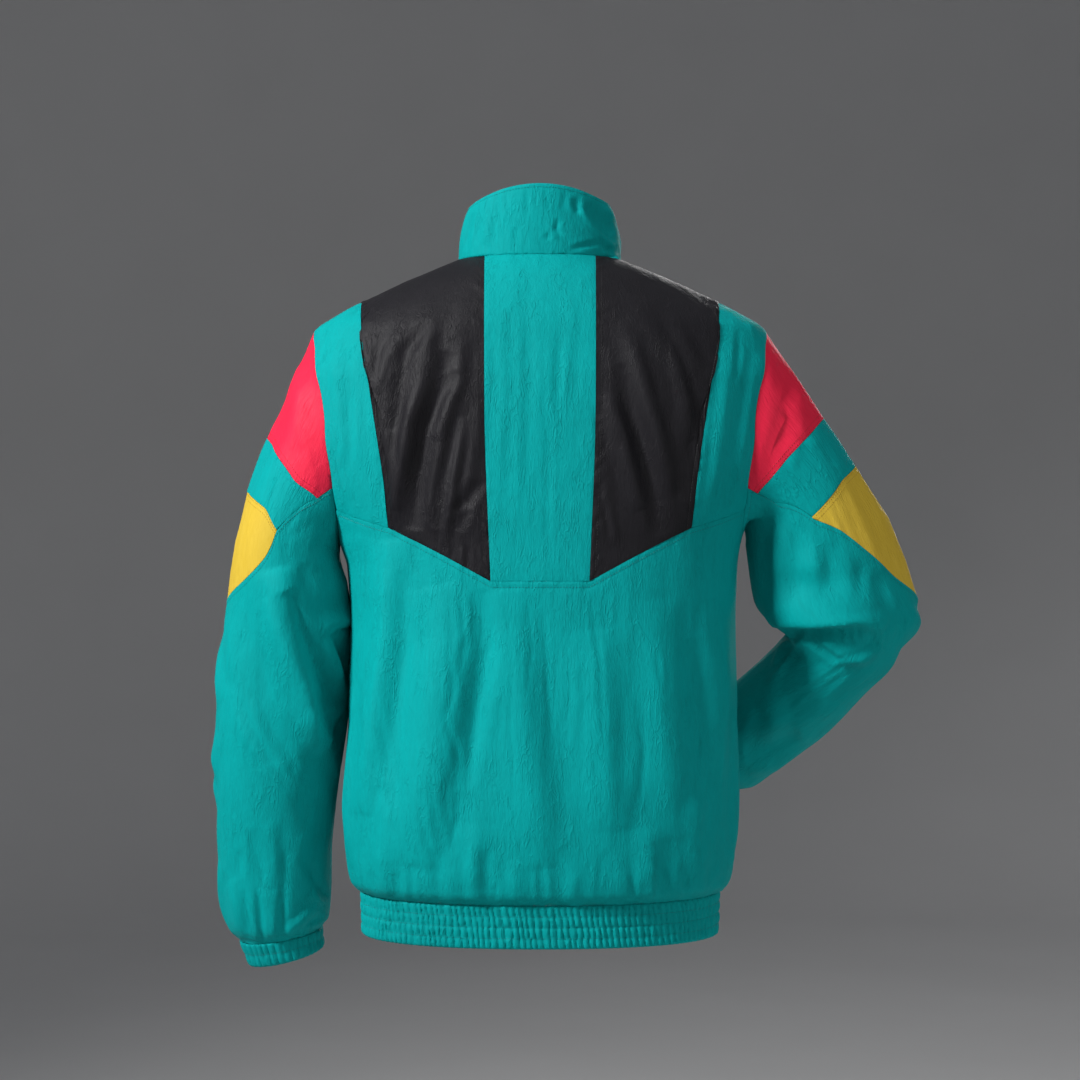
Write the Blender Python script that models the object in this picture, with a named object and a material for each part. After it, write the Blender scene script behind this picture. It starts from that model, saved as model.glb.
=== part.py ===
"""A hip-length windbreaker jacket in its worn, hollow form: metres, +Z up, front towards -Y.

The origin is the centre of the neck opening at the height of the collar seam. The wearer's left is +X.
Each cut-and-sewn piece is one wall with a plain inside and its folds raised in the outer points.
The body is a surface of (angle, level): angle 0 is the centre front, 90 the left side seam, 180 the
centre back. Each sleeve is a surface of (row, turn): row 0 is the armhole, turn 0 the outer line and
turn 90 the back. A panel is a patch stretched between four edges on one of these surfaces.
"""

import math

import bmesh
import bpy
import numpy as np
from mathutils import Matrix

MM = 0.001

# Driving sizes, mm and degrees.
WALL = 1.5
SEAM_GAP = 0.3
SEAM_LEAN = 12.0  # how far from an armhole the wall leans over to the sleeve's
NEAR = 1e-6
ZIP_HALF = 6.5  # from the centre front to the edge of each front
NECK_DROP = 55.0  # how much lower the neck seam is at the centre front
NECK_DROP_ENDS = -160.0
SHOULDER_SEAM_START = 82.0  # angle of the shoulder seam at the neck
SHOULDER_TIP = -71.0
BLACK_SHOULDER = -43.0  # level where the black yoke panel ends on the shoulder seam
ARMHOLE_MIDDLE = -173.0
ARMHOLE_HALF = 102.0
ARMHOLE_BULGE = 33.0
UNDERARM = ARMHOLE_MIDDLE - ARMHOLE_HALF
WAIST_SEAM = -626.0
HEM = -668.0
WAIST_RIBS = 64
CUFF_RIBS = 24
RIB_HEIGHT = 2.2
RIB_AT_STITCH = 0.7
FINE_STEPS = 360  # how finely a line is sampled before it is divided evenly by length


class Profile:
    """A table with one named row for each section, read at any height by monotone cubic curves."""

    def __init__(self, columns, rows):
        self.columns = columns
        self.table = np.array(sorted(rows), float)

    def at(self, where, column):
        return rounded(self.table[:, 0], self.table[:, self.columns.index(column)], where)


def rounded(xs, ys, x):
    """Monotone cubic interpolation, which never overshoots the table."""
    steps = np.diff(xs)
    slopes = np.diff(ys) / steps
    tangents = np.zeros(len(xs))
    tangents[0], tangents[-1] = slopes[0], slopes[-1]
    for i in range(1, len(xs) - 1):
        if slopes[i - 1] * slopes[i] > 0:
            tangents[i] = 2 * slopes[i - 1] * slopes[i] / (slopes[i - 1] + slopes[i])
    i = int(np.clip(np.searchsorted(xs, x) - 1, 0, len(steps) - 1))
    t = (np.clip(x, xs[0], xs[-1]) - xs[i]) / steps[i]
    rise = ys[i + 1] - ys[i]
    bend_in = tangents[i] * steps[i]
    bend_out = tangents[i + 1] * steps[i]
    return ys[i] + t * bend_in + t * t * (3 * rise - 2 * bend_in - bend_out) + t**3 * (
        bend_in + bend_out - 2 * rise
    )


BODY = Profile(
    ("level", "half_width", "back", "front", "squareness", "left_in"),
    (
        (0, 80, 62, 72, 2.0, 0),
        (-12, 110, 71, 79, 2.0, 0),
        (-25, 140, 79, 86, 2.05, 0),
        (-40, 171, 86, 91, 2.1, 0),
        (-55, 201, 92, 96, 2.15, 0),
        (-71, 224, 97, 101, 2.2, 0),
        (-85, 230, 100, 104, 2.3, 0),
        (-122, 241, 108, 111, 2.4, 0),
        (-173, 241, 114, 117, 2.4, 0),
        (-224, 225, 117, 120, 2.4, 0),
        (-261, 206, 119, 121, 2.4, 0),
        (-275, 200, 119, 121, 2.4, 0),
        (-305, 195, 120, 122, 2.4, 5),
        (-360, 193, 121, 123, 2.4, 6.5),
        (-440, 195, 125, 127, 2.4, 6.2),
        (-540, 196, 128, 130, 2.4, 1),
        (-598, 191, 126, 128, 2.4, 0),
        (-614, 188, 123, 125, 2.4, 0),
        (-621, 183, 118, 121, 2.35, 0),
        (-626, 176, 112, 115, 2.3, 0),
        (-668, 175, 109, 112, 2.3, 0),
    ),
)
COLLAR = Profile(
    ("height", "half_width", "back", "front"),
    ((0, 80, 62, 72), (0.35, 79, 61, 69), (0.75, 75, 59.5, 66), (1, 70, 58, 63)),
)
COLLAR_TOP = {"back": 70.0, "side": 53.0, "front": 38.0}

# The yoke seam across the back and the two edges of the black yoke panel: distance from the centre
# back, level.
YOKE_SEAM = ((47, -317), (97, -290), (145, -266))
BLACK_INNER = ((54, 0), (53, -150), (47, -317))
BLACK_OUTER = ((176, BLACK_SHOULDER), (170, -95), (163, -136), (150, -220), (145, -266))
YOKE_MEETS_ARMHOLE = 137  # turn

# Turns of the armhole that the body panels and the sleeve panels share.
ARMHOLE_TO_SLEEVE_SEAM = (0, 18, 36, 54, 72, 90, 107, 122)
ARMHOLE_TO_YOKE = ARMHOLE_TO_SLEEVE_SEAM + (130, YOKE_MEETS_ARMHOLE)
ARMHOLE_BELOW_YOKE = (YOKE_MEETS_ARMHOLE, 151, 166, 180)
ARMHOLE_TURNS = ARMHOLE_TO_YOKE + ARMHOLE_BELOW_YOKE[1:]

# Sleeve sections after the armhole: centre (outward, y, z), lean of the outward axis above the
# horizontal, half width along that axis, half depth across it. The last row is the end of the cuff.
SLEEVE_COLUMNS = ("outward", "y", "z", "lean", "half_width", "half_depth")
SLEEVE_SECTIONS = {
    "left": (
        (250.4, 4, -279, 17, 50.8, 61),
        (251.7, -1, -344, 3, 59.8, 62),
        (257.7, -8, -438, 0, 64.8, 61),
        (264, -16, -518, -2, 61, 59),
        (267.5, -24, -591, -3, 56, 54),
        (267, -28, -640, -4, 54, 50),
        (265, -30, -663, -6, 50, 46),
        (262.5, -31, -676, -9, 40, 37),
        (257.5, -33, -699, -13, 36, 33),
    ),
    "right": (
        (260, -2, -234, 23, 61, 62),
        (289, -10, -316, 20, 76, 66),
        (314, -20, -358, 12, 66, 62),
        (309, -30, -380, -6, 56, 56),
        (288, -48, -408, -30, 49, 52),
        (261, -72, -440, -48, 49, 49),
        (222, -101, -475, -48, 47, 47),
        (194, -122, -500, -48, 45, 45),
        (184, -129, -509, -48, 36, 36),
        (164, -144, -527, -48, 33, 33),
    ),
}
CUFF_ROWS = {"left": (8, 9), "right": (9, 10)}

# The seam that crosses each sleeve from the back armhole to the outer line, as (row, turn), with the
# tips where the red and the yellow piece end on it and the rows where their edges cross turn 0.
# red_low and yellow_top are the corners between that row and the tip, and yellow_lower the lower edge.
SLEEVE_SEAMS = {
    "left": {
        "red_outer": 0.5,
        "red_low": ((0.495, 78), (0.365, 111)),
        "red_tip": (0.365, 111),
        "band_middle": (0.65, 96.5),
        "yellow_outer": 0.77,
        "yellow_top": ((0.785, 60), (0.9, 82.5)),
        "yellow_tip": (0.9, 82.5),
        "yellow_tip_end": (0.92, 82.5),
        "yellow_lower": ((1.065, 78.5), (1.27, 70.5), (1.64, 45), (2.0, 0)),
    },
    "right": {
        "red_outer": 0.585,
        "red_low": ((0.535, 68), (0.44, 106), (0.33, 121)),
        "red_tip": (0.33, 121),
        "band_middle": (0.805, 117.5),
        "yellow_outer": 0.93,
        "yellow_top": ((0.97, 46), (1.07, 71), (1.2, 93.5)),
        "yellow_tip": (1.2, 93.5),
        "yellow_tip_end": (1.22, 93.5),
        "yellow_lower": ((1.41, 75), (1.755, 57.5), (2.265, 38), (2.9, 0)),
    },
}

COLOURS = {
    "teal": ((0.0, 0.33, 0.33, 1), 0.75),
    "black": ((0.013, 0.013, 0.015, 1), 0.5),
    "red": ((0.75, 0.02, 0.07, 1), 0.55),
    "yellow": ((0.75, 0.55, 0.06, 1), 0.55),
    "tape": ((0.0, 0.18, 0.19, 1), 0.85),
    "metal": ((0.35, 0.36, 0.37, 1), 0.35),
}


# --- surfaces -------------------------------------------------------------------------------------
def signed_power(value, power):
    return math.copysign(abs(value) ** power, value)


def body(angle, level):
    """A point of the body's inner surface."""
    turn = math.radians(angle)
    power = 2 / BODY.at(level, "squareness")
    ahead = math.cos(turn)
    depth = BODY.at(level, "front" if ahead > 0 else "back")
    start = math.cos(math.radians(SHOULDER_SEAM_START))
    fade = 1 - min(1, level / NECK_DROP_ENDS)
    drop = NECK_DROP * (max(0, ahead - start) / (1 - start)) ** 1.5 * fade * fade * (3 - 2 * fade)
    wide = BODY.at(level, "half_width") - BODY.at(level, "left_in") * max(0, math.sin(turn)) ** 2
    return np.array(
        (
            wide * signed_power(math.sin(turn), power),
            -depth * signed_power(ahead, power),
            level - drop,
        )
    )


def angle_at(x, level, front=False):
    """The angle where the body is x from the centre plane at this level."""
    share = min(1, abs(x) / BODY.at(level, "half_width"))
    turn = math.degrees(math.asin(share ** (BODY.at(level, "squareness") / 2)))
    return math.copysign(turn if front else 180 - turn, x)


def collar(angle, height):
    """A point of the collar's inner surface, from the neck seam at 0 to the top edge at 1."""
    turn = math.radians(angle)
    ahead = math.cos(turn)
    end = "front" if ahead > 0 else "back"
    top = COLLAR_TOP["side"] + (COLLAR_TOP[end] - COLLAR_TOP["side"]) * ahead * ahead
    foot = body(angle, 0)[2]
    return np.array(
        (
            COLLAR.at(height, "half_width") * math.sin(turn),
            -COLLAR.at(height, end) * ahead,
            foot + (top - foot) * height,
        )
    )


def armhole(turn, side):
    """The body angle and level of a point on the armhole."""
    bulge = ARMHOLE_BULGE * math.sin(math.radians(turn))
    return side * (90 + bulge), ARMHOLE_MIDDLE + ARMHOLE_HALF * math.cos(math.radians(turn))


class Sleeve:
    def __init__(self, name):
        self.side = 1 if name == "left" else -1
        rows = np.array(SLEEVE_SECTIONS[name], float)
        centres = np.vstack([body(90, ARMHOLE_MIDDLE), rows[:, :3]])
        centres[:, 0] *= self.side
        self.rings = []
        for i, row in enumerate(rows):
            section = dict(zip(SLEEVE_COLUMNS, row))
            lean = math.radians(section["lean"])
            outward = np.array((self.side * math.cos(lean), 0, math.sin(lean)))
            run = centres[min(i + 2, len(rows))] - centres[i]
            across = np.cross(run, outward)
            across *= math.copysign(1, across[1]) / np.linalg.norm(across)
            wide = outward * section["half_width"]
            self.rings.append((centres[i + 1], wide, across * section["half_depth"]))
        self.places = np.arange(len(rows) + 1, dtype=float)

    def __call__(self, row, turn):
        """A point of the sleeve's inner surface."""
        bent = math.radians(turn)
        points = [body(*armhole(turn, self.side))]
        points += [c + u * math.cos(bent) + w * math.sin(bent) for c, u, w in self.rings]
        points = np.array(points)
        return np.array([rounded(self.places, points[:, k], row) for k in range(3)])

    def ring_normal(self, row, turn):
        """The outward direction in the plane of a section, for the seam of the cuff."""
        bent = math.radians(turn)
        _, wide, deep = self.rings[row - 1]
        out = wide / (wide @ wide) * math.cos(bent) + deep / (deep @ deep) * math.sin(bent)
        return out / np.linalg.norm(out)


def normal_of(surface, p, q, low, high):
    """The outward unit normal, from small steps that stay between low and high in q."""
    step = 0.01
    along = surface(p + step, q) - surface(p - step, q)
    up = surface(p, min(q + step, high)) - surface(p, max(q - step, low))
    out = np.cross(along, up)
    return out / np.linalg.norm(out)


def body_normal(angle, level):
    return normal_of(body, angle, level, HEM, 0)


def collar_normal(angle, height):
    return normal_of(collar, angle, height, 0, 1)


def sleeve_normal(sleeve, row, turn):
    """The surface is (row, turn), so its steps swap against the body's."""
    last = len(sleeve.places) - 1
    step = 0.01
    along = sleeve(min(row + step, last), turn) - sleeve(max(row - step, 0), turn)
    round_it = sleeve(row, turn + 0.5) - sleeve(row, turn - 0.5)
    out = sleeve.side * np.cross(along, round_it)
    return out / np.linalg.norm(out)


def mitre(first, second):
    """The shared direction of two walls at a seam, lengthened so that both keep their thickness."""
    both = first + second
    both /= np.linalg.norm(both)
    return both / max(0.7, both @ first)


SLEEVES = {"left": Sleeve("left"), "right": Sleeve("right")}


def armhole_mitre(side_name, turn):
    sleeve = SLEEVES[side_name]
    there = armhole(turn, sleeve.side)
    return mitre(body_normal(*there), sleeve_normal(sleeve, 0.05, turn))


# --- folds ----------------------------------------------------------------------------------------
# Soft folds of the cloth as lines in space, mm: start, end, height, half width.
FOLD_COLUMNS = ("start", "end", "height", "half_width")
FOLDS = (
    ((100, 95, -40), (130, 95, -235), 3.5, 15),
    ((75, 80, -60), (92, 105, -262), 4.0, 13),
    ((-95, 95, -40), (-118, 100, -240), 3.5, 15),
    ((-128, 85, -60), (-140, 95, -250), 3.0, 12),
    ((144, 108, -297), (164, 100, -500), 3.0, 16),
    ((95, 122, -335), (112, 122, -560), 4.0, 20),
    ((27, 126, -354), (-5, 126, -590), 3.0, 18),
    ((-57, 124, -373), (-68, 126, -560), 3.5, 18),
    ((-109, 118, -370), (-125, 116, -540), 3.0, 19),
    ((60, 122, -545), (62, 117, -608), 3.0, 13),
    ((-103, 118, -550), (-100, 110, -608), 3.0, 13),
    ((150, 100, -520), (146, 92, -604), 3.0, 15),
    ((-150, 100, -520), (-150, 90, -604), 3.0, 15),
    ((262, 50, -307), (194, 40, -437), 6.0, 14),
    ((235, 50, -445), (200, 30, -484), 5.0, 12),
    ((298, 40, -443), (232, 45, -553), 4.0, 13),
    ((236, 40, -569), (218, 30, -615), 4.0, 12),
    ((-232, 55, -362), (-345, 45, -366), 7.0, 12),
    ((-270, 40, -386), (-330, 30, -395), 5.0, 11),
    ((-250, 60, -300), (-320, 50, -335), 4.0, 14),
    ((-215, 60, -290), (-226, 50, -345), 3.5, 12),
    ((-300, -10, -440), (-240, -60, -468), 3.5, 13),
    ((60, -118, -230), (150, -90, -300), 3.0, 22),
    ((-60, -118, -230), (-150, -90, -300), 3.0, 22),
    ((50, -128, -480), (60, -124, -606), 3.5, 18),
    ((-50, -128, -480), (-60, -124, -606), 3.5, 18),
    ((115, -118, -490), (120, -108, -606), 3.5, 18),
    ((-115, -118, -490), (-120, -108, -606), 3.5, 18),
    ((282, -60, -330), (250, -66, -430), 4.0, 14),
    ((300, -60, -500), (256, -80, -590), 4.0, 14),
)


def fold_relief(point):
    """How far the folds raise the cloth at a point."""
    raised = 0.0
    for fold in (dict(zip(FOLD_COLUMNS, row)) for row in FOLDS):
        start = np.array(fold["start"], float)
        line = np.array(fold["end"], float) - start
        share = np.clip((point - start) @ line / (line @ line), 0, 1)
        away = np.linalg.norm(point - start - share * line) / fold["half_width"]
        ends = min(1, 4 * share * (1 - share) + 0.25)
        raised = max(raised, fold["height"] * ends * math.exp(-away * away))
    return raised


# --- walls ----------------------------------------------------------------------------------------
def inset(points, normals, closed, gap):
    """Pulls the borders of a grid of points in by half the seam gap, across each border."""
    moved = points.copy()
    rows, columns = points.shape[:2]

    def pull(j, i, inner_j, inner_i, tangent):
        tangent = tangent / np.linalg.norm(tangent)
        inward = points[inner_j, inner_i] - points[j, i]
        normal = normals[j, i] / np.linalg.norm(normals[j, i])
        across = np.cross(tangent, normal)
        across *= math.copysign(1, across @ inward) / np.linalg.norm(across)
        moved[j, i] += across * gap / 2

    for i in range(columns):
        before, after = i - 1, i + 1
        if closed:
            before, after = before % columns, after % columns
        else:
            before, after = max(before, 0), min(after, columns - 1)
        for j, inner in ((0, 1), (rows - 1, rows - 2)):
            pull(j, i, inner, i, points[j, after] - points[j, before])
    if not closed:
        for j in range(rows):
            run = points[min(j + 1, rows - 1)] - points[max(j - 1, 0)]
            for i, inner in ((0, 1), (columns - 1, columns - 2)):
                pull(j, i, j, inner, run[i])
    return moved


def wall(name, points, normals, colour, relief=None, closed=False, folds=True):
    """One closed solid: the plain inside is the grid itself, and the outside is moved along the
    normals by the wall and its relief. A wall with a relief of its own is straight inside."""
    points = np.array(points, float)
    normals = np.array(normals, float)
    rows, columns = points.shape[:2]
    thickness = np.full((rows, columns), WALL)
    if relief is not None:
        thickness += relief
    if folds:
        for j in range(1, rows - 1):
            for i in range(0 if closed else 1, columns if closed else columns - 1):
                thickness[j, i] += fold_relief(points[j, i])
    inner = inset(points, normals, closed, SEAM_GAP)
    outer = inner + normals * thickness[..., None]
    if relief is not None:
        inner = inner[[0, -1]]
    mesh = bmesh.new()
    inner_verts = [[mesh.verts.new(p * MM) for p in row] for row in inner]
    outer_verts = [[mesh.verts.new(p * MM) for p in row] for row in outer]
    spans = [(i, (i + 1) % columns) for i in range(columns if closed else columns - 1)]
    for grid in (outer_verts, inner_verts):
        for upper, lower in zip(grid, grid[1:]):
            for i, k in spans:
                mesh.faces.new((upper[i], upper[k], lower[k], lower[i]))
    for end in (0, -1):
        for i, k in spans:
            mesh.faces.new(
                (outer_verts[end][i], outer_verts[end][k], inner_verts[end][k], inner_verts[end][i])
            )
        if not closed:
            border = [row[end] for row in outer_verts] + [row[end] for row in inner_verts[::-1]]
            if relief is None:
                for j in range(rows - 1):
                    quad = (border[j], border[j + 1], border[-j - 2], border[-j - 1])
                    mesh.faces.new(quad)
            else:
                mesh.faces.new(border)
    return piece(name, mesh, colour)


def piece(name, mesh, colour):
    """Makes the object of a finished mesh, faces out and shaded smooth."""
    bmesh.ops.recalc_face_normals(mesh, faces=mesh.faces)
    if mesh.calc_volume(signed=True) < 0:
        bmesh.ops.reverse_faces(mesh, faces=mesh.faces)
    data = bpy.data.meshes.new(name)
    mesh.to_mesh(data)
    mesh.free()
    data.shade_smooth()
    data.set_sharp_from_angle(angle=math.radians(50))
    data.materials.append(material(colour))
    made = bpy.data.objects.new(name, data)
    bpy.data.collections["windbreaker"].objects.link(made)
    return made


def material(colour):
    if colour in bpy.data.materials:
        return bpy.data.materials[colour]
    made = bpy.data.materials.new(colour)
    made.use_nodes = True
    shader = made.node_tree.nodes["Principled BSDF"]
    shader.inputs["Base Color"].default_value = COLOURS[colour][0]
    shader.inputs["Roughness"].default_value = COLOURS[colour][1]
    shader.inputs["Metallic"].default_value = 1.0 if colour == "metal" else 0.0
    return made


# --- edges and patches ----------------------------------------------------------------------------
def spread(start, end, count):
    """Evenly spaced places from start to end, both included."""
    return [tuple(row) for row in np.linspace(start, end, count + 1)]


def down_the_back(corners, count, start=None):
    """Places down a line of (distance from the centre plane, level) on the back, evenly by length."""
    corners = np.array(corners, float)
    order = np.argsort(corners[:, 1])
    line = []
    for level in np.linspace(corners[0, 1], corners[-1, 1], FINE_STEPS + 1):
        x = rounded(corners[order, 1], corners[order, 0], level)
        line.append((angle_at(x, level), level))
    if start:
        line[0] = start
    points = np.array([body(*place) for place in line])
    run = np.concatenate([[0], np.cumsum(np.linalg.norm(np.diff(points, axis=0), axis=1))])
    evenly = np.linspace(0, run[-1], count + 1)
    angles, levels = np.array(line).T
    return list(zip(np.interp(evenly, run, angles), np.interp(evenly, run, levels)))


def patch(top, bottom, left, right, shares=None, fade=1):
    """A grid of places stretched between four edges that share their corners. A higher fade keeps
    the bends of the top edge nearer to it."""
    top, bottom, left, right = (np.array(edge, float) for edge in (top, bottom, left, right))
    grid = np.zeros((len(left), len(top), 2))
    for j in range(len(left)):
        v = j / (len(left) - 1) if shares is None else shares[j]
        for i in range(len(top)):
            u = i / (len(top) - 1)
            across = (1 - u) * left[j] + u * right[j]
            top_bend = top[i] - (1 - u) * top[0] - u * top[-1]
            bottom_bend = bottom[i] - (1 - u) * bottom[0] - u * bottom[-1]
            grid[j, i] = across + (1 - v) ** fade * top_bend + v * bottom_bend
    return grid


def mirrored(edge):
    return [(-a, b) for a, b in edge]


# --- body panels ----------------------------------------------------------------------------------
def shoulder(level):
    share = level / SHOULDER_TIP
    return SHOULDER_SEAM_START + (90 - SHOULDER_SEAM_START) * share, level


def neck_mitre(angle):
    return mitre(body_normal(angle, 0), collar_normal(angle, 0))


def waist_normal(angle):
    """The level direction out of the body that the walls on both sides of the waist seam take."""
    out = body_normal(angle, WAIST_SEAM)
    return np.array((out[0], out[1], 0)) / math.hypot(out[0], out[1])


def body_wall(name, grid, colour, armhole_sides=(), **kinds):
    """A wall on the body. Its borders on the neck and the waist take the directions that the collar
    and the waistband share with it, and near an armhole it leans over to the seam's direction."""
    points = np.array([[body(*place) for place in row] for row in grid])
    normals = np.array([[body_normal(*place) for place in row] for row in grid])
    for j, row in enumerate(grid):
        for i, (angle, level) in enumerate(row):
            if abs(level) < NEAR:
                normals[j, i] = neck_mitre(angle)
            elif abs(level - WAIST_SEAM) < NEAR:
                normals[j, i] = waist_normal(angle)
    for side_name in armhole_sides:
        for turn in ARMHOLE_TURNS + tuple(-turn for turn in ARMHOLE_TURNS[1:-1]):
            seam_point = body(*armhole(turn, SLEEVES[side_name].side))
            direction = armhole_mitre(side_name, turn)
            away = np.linalg.norm(points - seam_point, axis=2)
            for j, i in zip(*np.nonzero(away < SEAM_LEAN)):
                share = away[j, i] / SEAM_LEAN
                normals[j, i] = normals[j, i] * share + direction * (1 - share)
    return wall(name, points, normals, colour, **kinds)


YOKE_ROWS = len(ARMHOLE_TO_YOKE) - 1
CENTRE_COLUMNS = 6
NECK_COLUMNS = 3
BLACK_SHOULDER_COLUMNS = 4
SIDE_COLUMNS = 3
FRONT_NECK_COLUMNS = 5
FRONT_FADE = 4
FRONT_UPPER = 0.42  # share of the zip edge that lies beside the armhole
LOWER_SHARES = (0, 0.12, 0.25, 0.39, 0.53, 0.67, 0.8, 0.9, 0.965, 1)


def yoke_edges():
    """The edges of the left half of the back yoke, each from the centre outwards or from the top
    down."""
    neck_start = angle_at(BLACK_INNER[0][0], 0)
    inner = down_the_back(BLACK_INNER, YOKE_ROWS)
    outer = down_the_back(BLACK_OUTER, YOKE_ROWS, shoulder(BLACK_SHOULDER))
    neck_end = (SHOULDER_SEAM_START, 0)
    black_top = spread((neck_start, 0), neck_end, NECK_COLUMNS)
    levels = np.linspace(0, BLACK_SHOULDER, BLACK_SHOULDER_COLUMNS + 1)[1:]
    black_top += [shoulder(level) for level in levels]
    side_levels = np.linspace(BLACK_SHOULDER, SHOULDER_TIP, SIDE_COLUMNS + 1)
    xs, levels = np.array(YOKE_SEAM, float).T
    black_bottom = []
    for x in np.linspace(xs[0], xs[-1], len(black_top)):
        level = rounded(xs, levels, x)
        black_bottom.append((angle_at(x, level), level))
    return {
        "inner": inner,
        "outer": outer,
        "armhole": [armhole(turn, 1) for turn in ARMHOLE_TO_YOKE],
        "black_top": black_top,
        "black_bottom": black_bottom,
        "side_top": [shoulder(level) for level in side_levels],
        "side_bottom": spread(black_bottom[-1], armhole(YOKE_MEETS_ARMHOLE, 1), SIDE_COLUMNS),
    }


def round_back(edge):
    """The same edge on the right half, with angles that go on past 180."""
    return [(360 - a, b) for a, b in edge]


def make_back():
    edges = yoke_edges()
    left_top, left_bottom = edges["black_top"][0], edges["black_bottom"][0]
    top = spread(left_top, (360 - left_top[0], 0), CENTRE_COLUMNS)
    bottom = spread(left_bottom, (360 - left_bottom[0], left_bottom[1]), CENTRE_COLUMNS)
    grid = patch(top, bottom, edges["inner"], round_back(edges["inner"]))
    body_wall("back_centre", grid, "teal")
    for name, turned in (("left", list), ("right", round_back)):
        black = [turned(edges[e]) for e in ("black_top", "black_bottom", "inner", "outer")]
        body_wall(f"back_black_{name}", patch(*black), "black")
        side = [turned(edges[e]) for e in ("side_top", "side_bottom", "outer", "armhole")]
        body_wall(f"back_side_{name}", patch(*side), "teal", armhole_sides=(name,))
    below = [armhole(turn, 1) for turn in ARMHOLE_BELOW_YOKE]
    half = below[::-1] + edges["side_bottom"][::-1][1:] + edges["black_bottom"][::-1][1:]
    top = half + bottom[1:-1] + round_back(half)[::-1]
    hem = spread((90, WAIST_SEAM), (270, WAIST_SEAM), len(top) - 1)
    seam = [(90, UNDERARM + (WAIST_SEAM - UNDERARM) * share) for share in LOWER_SHARES]
    grid = patch(top, hem, seam, round_back(seam), LOWER_SHARES)
    body_wall("back_lower", grid, "teal", armhole_sides=("left", "right"))


def front_seam_shares():
    rows = len(ARMHOLE_TURNS) - 1
    upper = [j / rows * FRONT_UPPER for j in range(rows)]
    return upper + [FRONT_UPPER + (1 - FRONT_UPPER) * share for share in LOWER_SHARES]


def zip_edge(level):
    return angle_at(ZIP_HALF, level, front=True), level


def make_fronts():
    edges = yoke_edges()
    top = spread(zip_edge(0), (SHOULDER_SEAM_START, 0), FRONT_NECK_COLUMNS)
    top += edges["black_top"][NECK_COLUMNS + 1 :] + edges["side_top"][1:]
    outer = [armhole(-turn, 1) for turn in ARMHOLE_TURNS]
    lower = LOWER_SHARES[1:]
    outer += [(90, UNDERARM + (WAIST_SEAM - UNDERARM) * share) for share in lower]
    shares = front_seam_shares()
    inner = [zip_edge(share * WAIST_SEAM) for share in shares]
    bottom = spread(zip_edge(WAIST_SEAM), (90, WAIST_SEAM), len(top) - 1)
    grid = patch(top, bottom, inner, outer, shares, FRONT_FADE)
    body_wall("front_left", grid, "teal", armhole_sides=("left",))
    right = np.array([mirrored(row) for row in grid])
    body_wall("front_right", right, "teal", armhole_sides=("right",))


def neck_angles():
    """The angles of every point on the neck seam, from the left zip edge round the back."""
    edges = yoke_edges()
    front = spread(zip_edge(0), (SHOULDER_SEAM_START, 0), FRONT_NECK_COLUMNS)
    back = edges["black_top"][: NECK_COLUMNS + 1][::-1]
    half = front + back[1:]
    centre = spread(half[-1], (360 - half[-1][0], 0), CENTRE_COLUMNS)
    angles = [place[0] for place in half + centre[1:-1]]
    return angles + [360 - place[0] for place in half[::-1]]


def collar_zip_angle(height):
    """The angle where the collar is as far from the centre front as the fronts are."""
    return math.degrees(math.asin(ZIP_HALF / COLLAR.at(height, "half_width")))


def make_collar():
    heights = (0, 0.2, 0.45, 0.72, 0.9, 1)
    angles = neck_angles()
    points, normals = [], []
    for height in heights:
        row = list(angles)
        row[0] = collar_zip_angle(height)
        row[-1] = 360 - row[0]
        points.append([collar(angle, height) for angle in row])
        if height:
            normals.append([collar_normal(angle, height) for angle in row])
        else:
            normals.append([neck_mitre(angle) for angle in row])
    wall("collar", points, normals, "teal", folds=False)


# --- ribbed bands ---------------------------------------------------------------------------------
def rib_relief(rows, columns, cells):
    """Ribs that stand between the stitch lines and are drawn in along them."""
    relief = np.zeros((rows, columns))
    for j in range(rows):
        share = j / (rows - 1) * cells % 1
        height = RIB_AT_STITCH + (RIB_HEIGHT - RIB_AT_STITCH) * math.sin(math.pi * share)
        relief[j, 1::2] = height
    return relief


def even_angles(level, start, end, count):
    """Angles that divide the body's girth into equal lengths."""
    fine = np.linspace(start, end, 4 * FINE_STEPS + 1)
    ring = np.array([body(angle, level) for angle in fine])
    run = np.concatenate([[0], np.cumsum(np.linalg.norm(np.diff(ring, axis=0), axis=1))])
    return np.interp(np.linspace(0, run[-1], count + 1), run, fine)


def make_waistband():
    cells = 4
    levels = np.linspace(WAIST_SEAM, HEM, 2 * cells + 1)
    columns = 2 * WAIST_RIBS
    points, normals = [], []
    for level in levels:
        start = zip_edge(level)[0]
        row = even_angles(level, start, 360 - start, columns)
        points.append([body(angle, level) for angle in row])
        normals.append([waist_normal(angle) for angle in row])
    relief = rib_relief(len(levels), columns + 1, cells)
    wall("waistband", points, normals, "teal", relief=relief, folds=False)


def make_cuff(name):
    cells = 2
    sleeve = SLEEVES[name]
    first, last = CUFF_ROWS[name]
    rows = np.linspace(first, last, 2 * cells + 1)
    turns = np.linspace(0, 360, 2 * CUFF_RIBS + 1)[:-1]
    points = [[sleeve(row, turn) for turn in turns] for row in rows]
    normals = [[sleeve.ring_normal(first, turn) for turn in turns] for _ in rows]
    relief = rib_relief(len(rows), len(turns), cells)
    wall(f"cuff_{name}", points, normals, "teal", relief=relief, closed=True, folds=False)


# --- sleeves --------------------------------------------------------------------------------------
RED_ROWS, BAND_ROWS, YELLOW_ROWS, MAIN_ROWS = 3, 2, 3, 13
# Where the columns of a main sleeve piece end at the cuff: column from the outer line, turn.
CUFF_SPREAD = ((0, 10, 11, 13, 18), (0, 108, 119, 133, 180))
SETTLED_BY = 0.4  # share of a main piece's length by which its columns are spread


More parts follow.
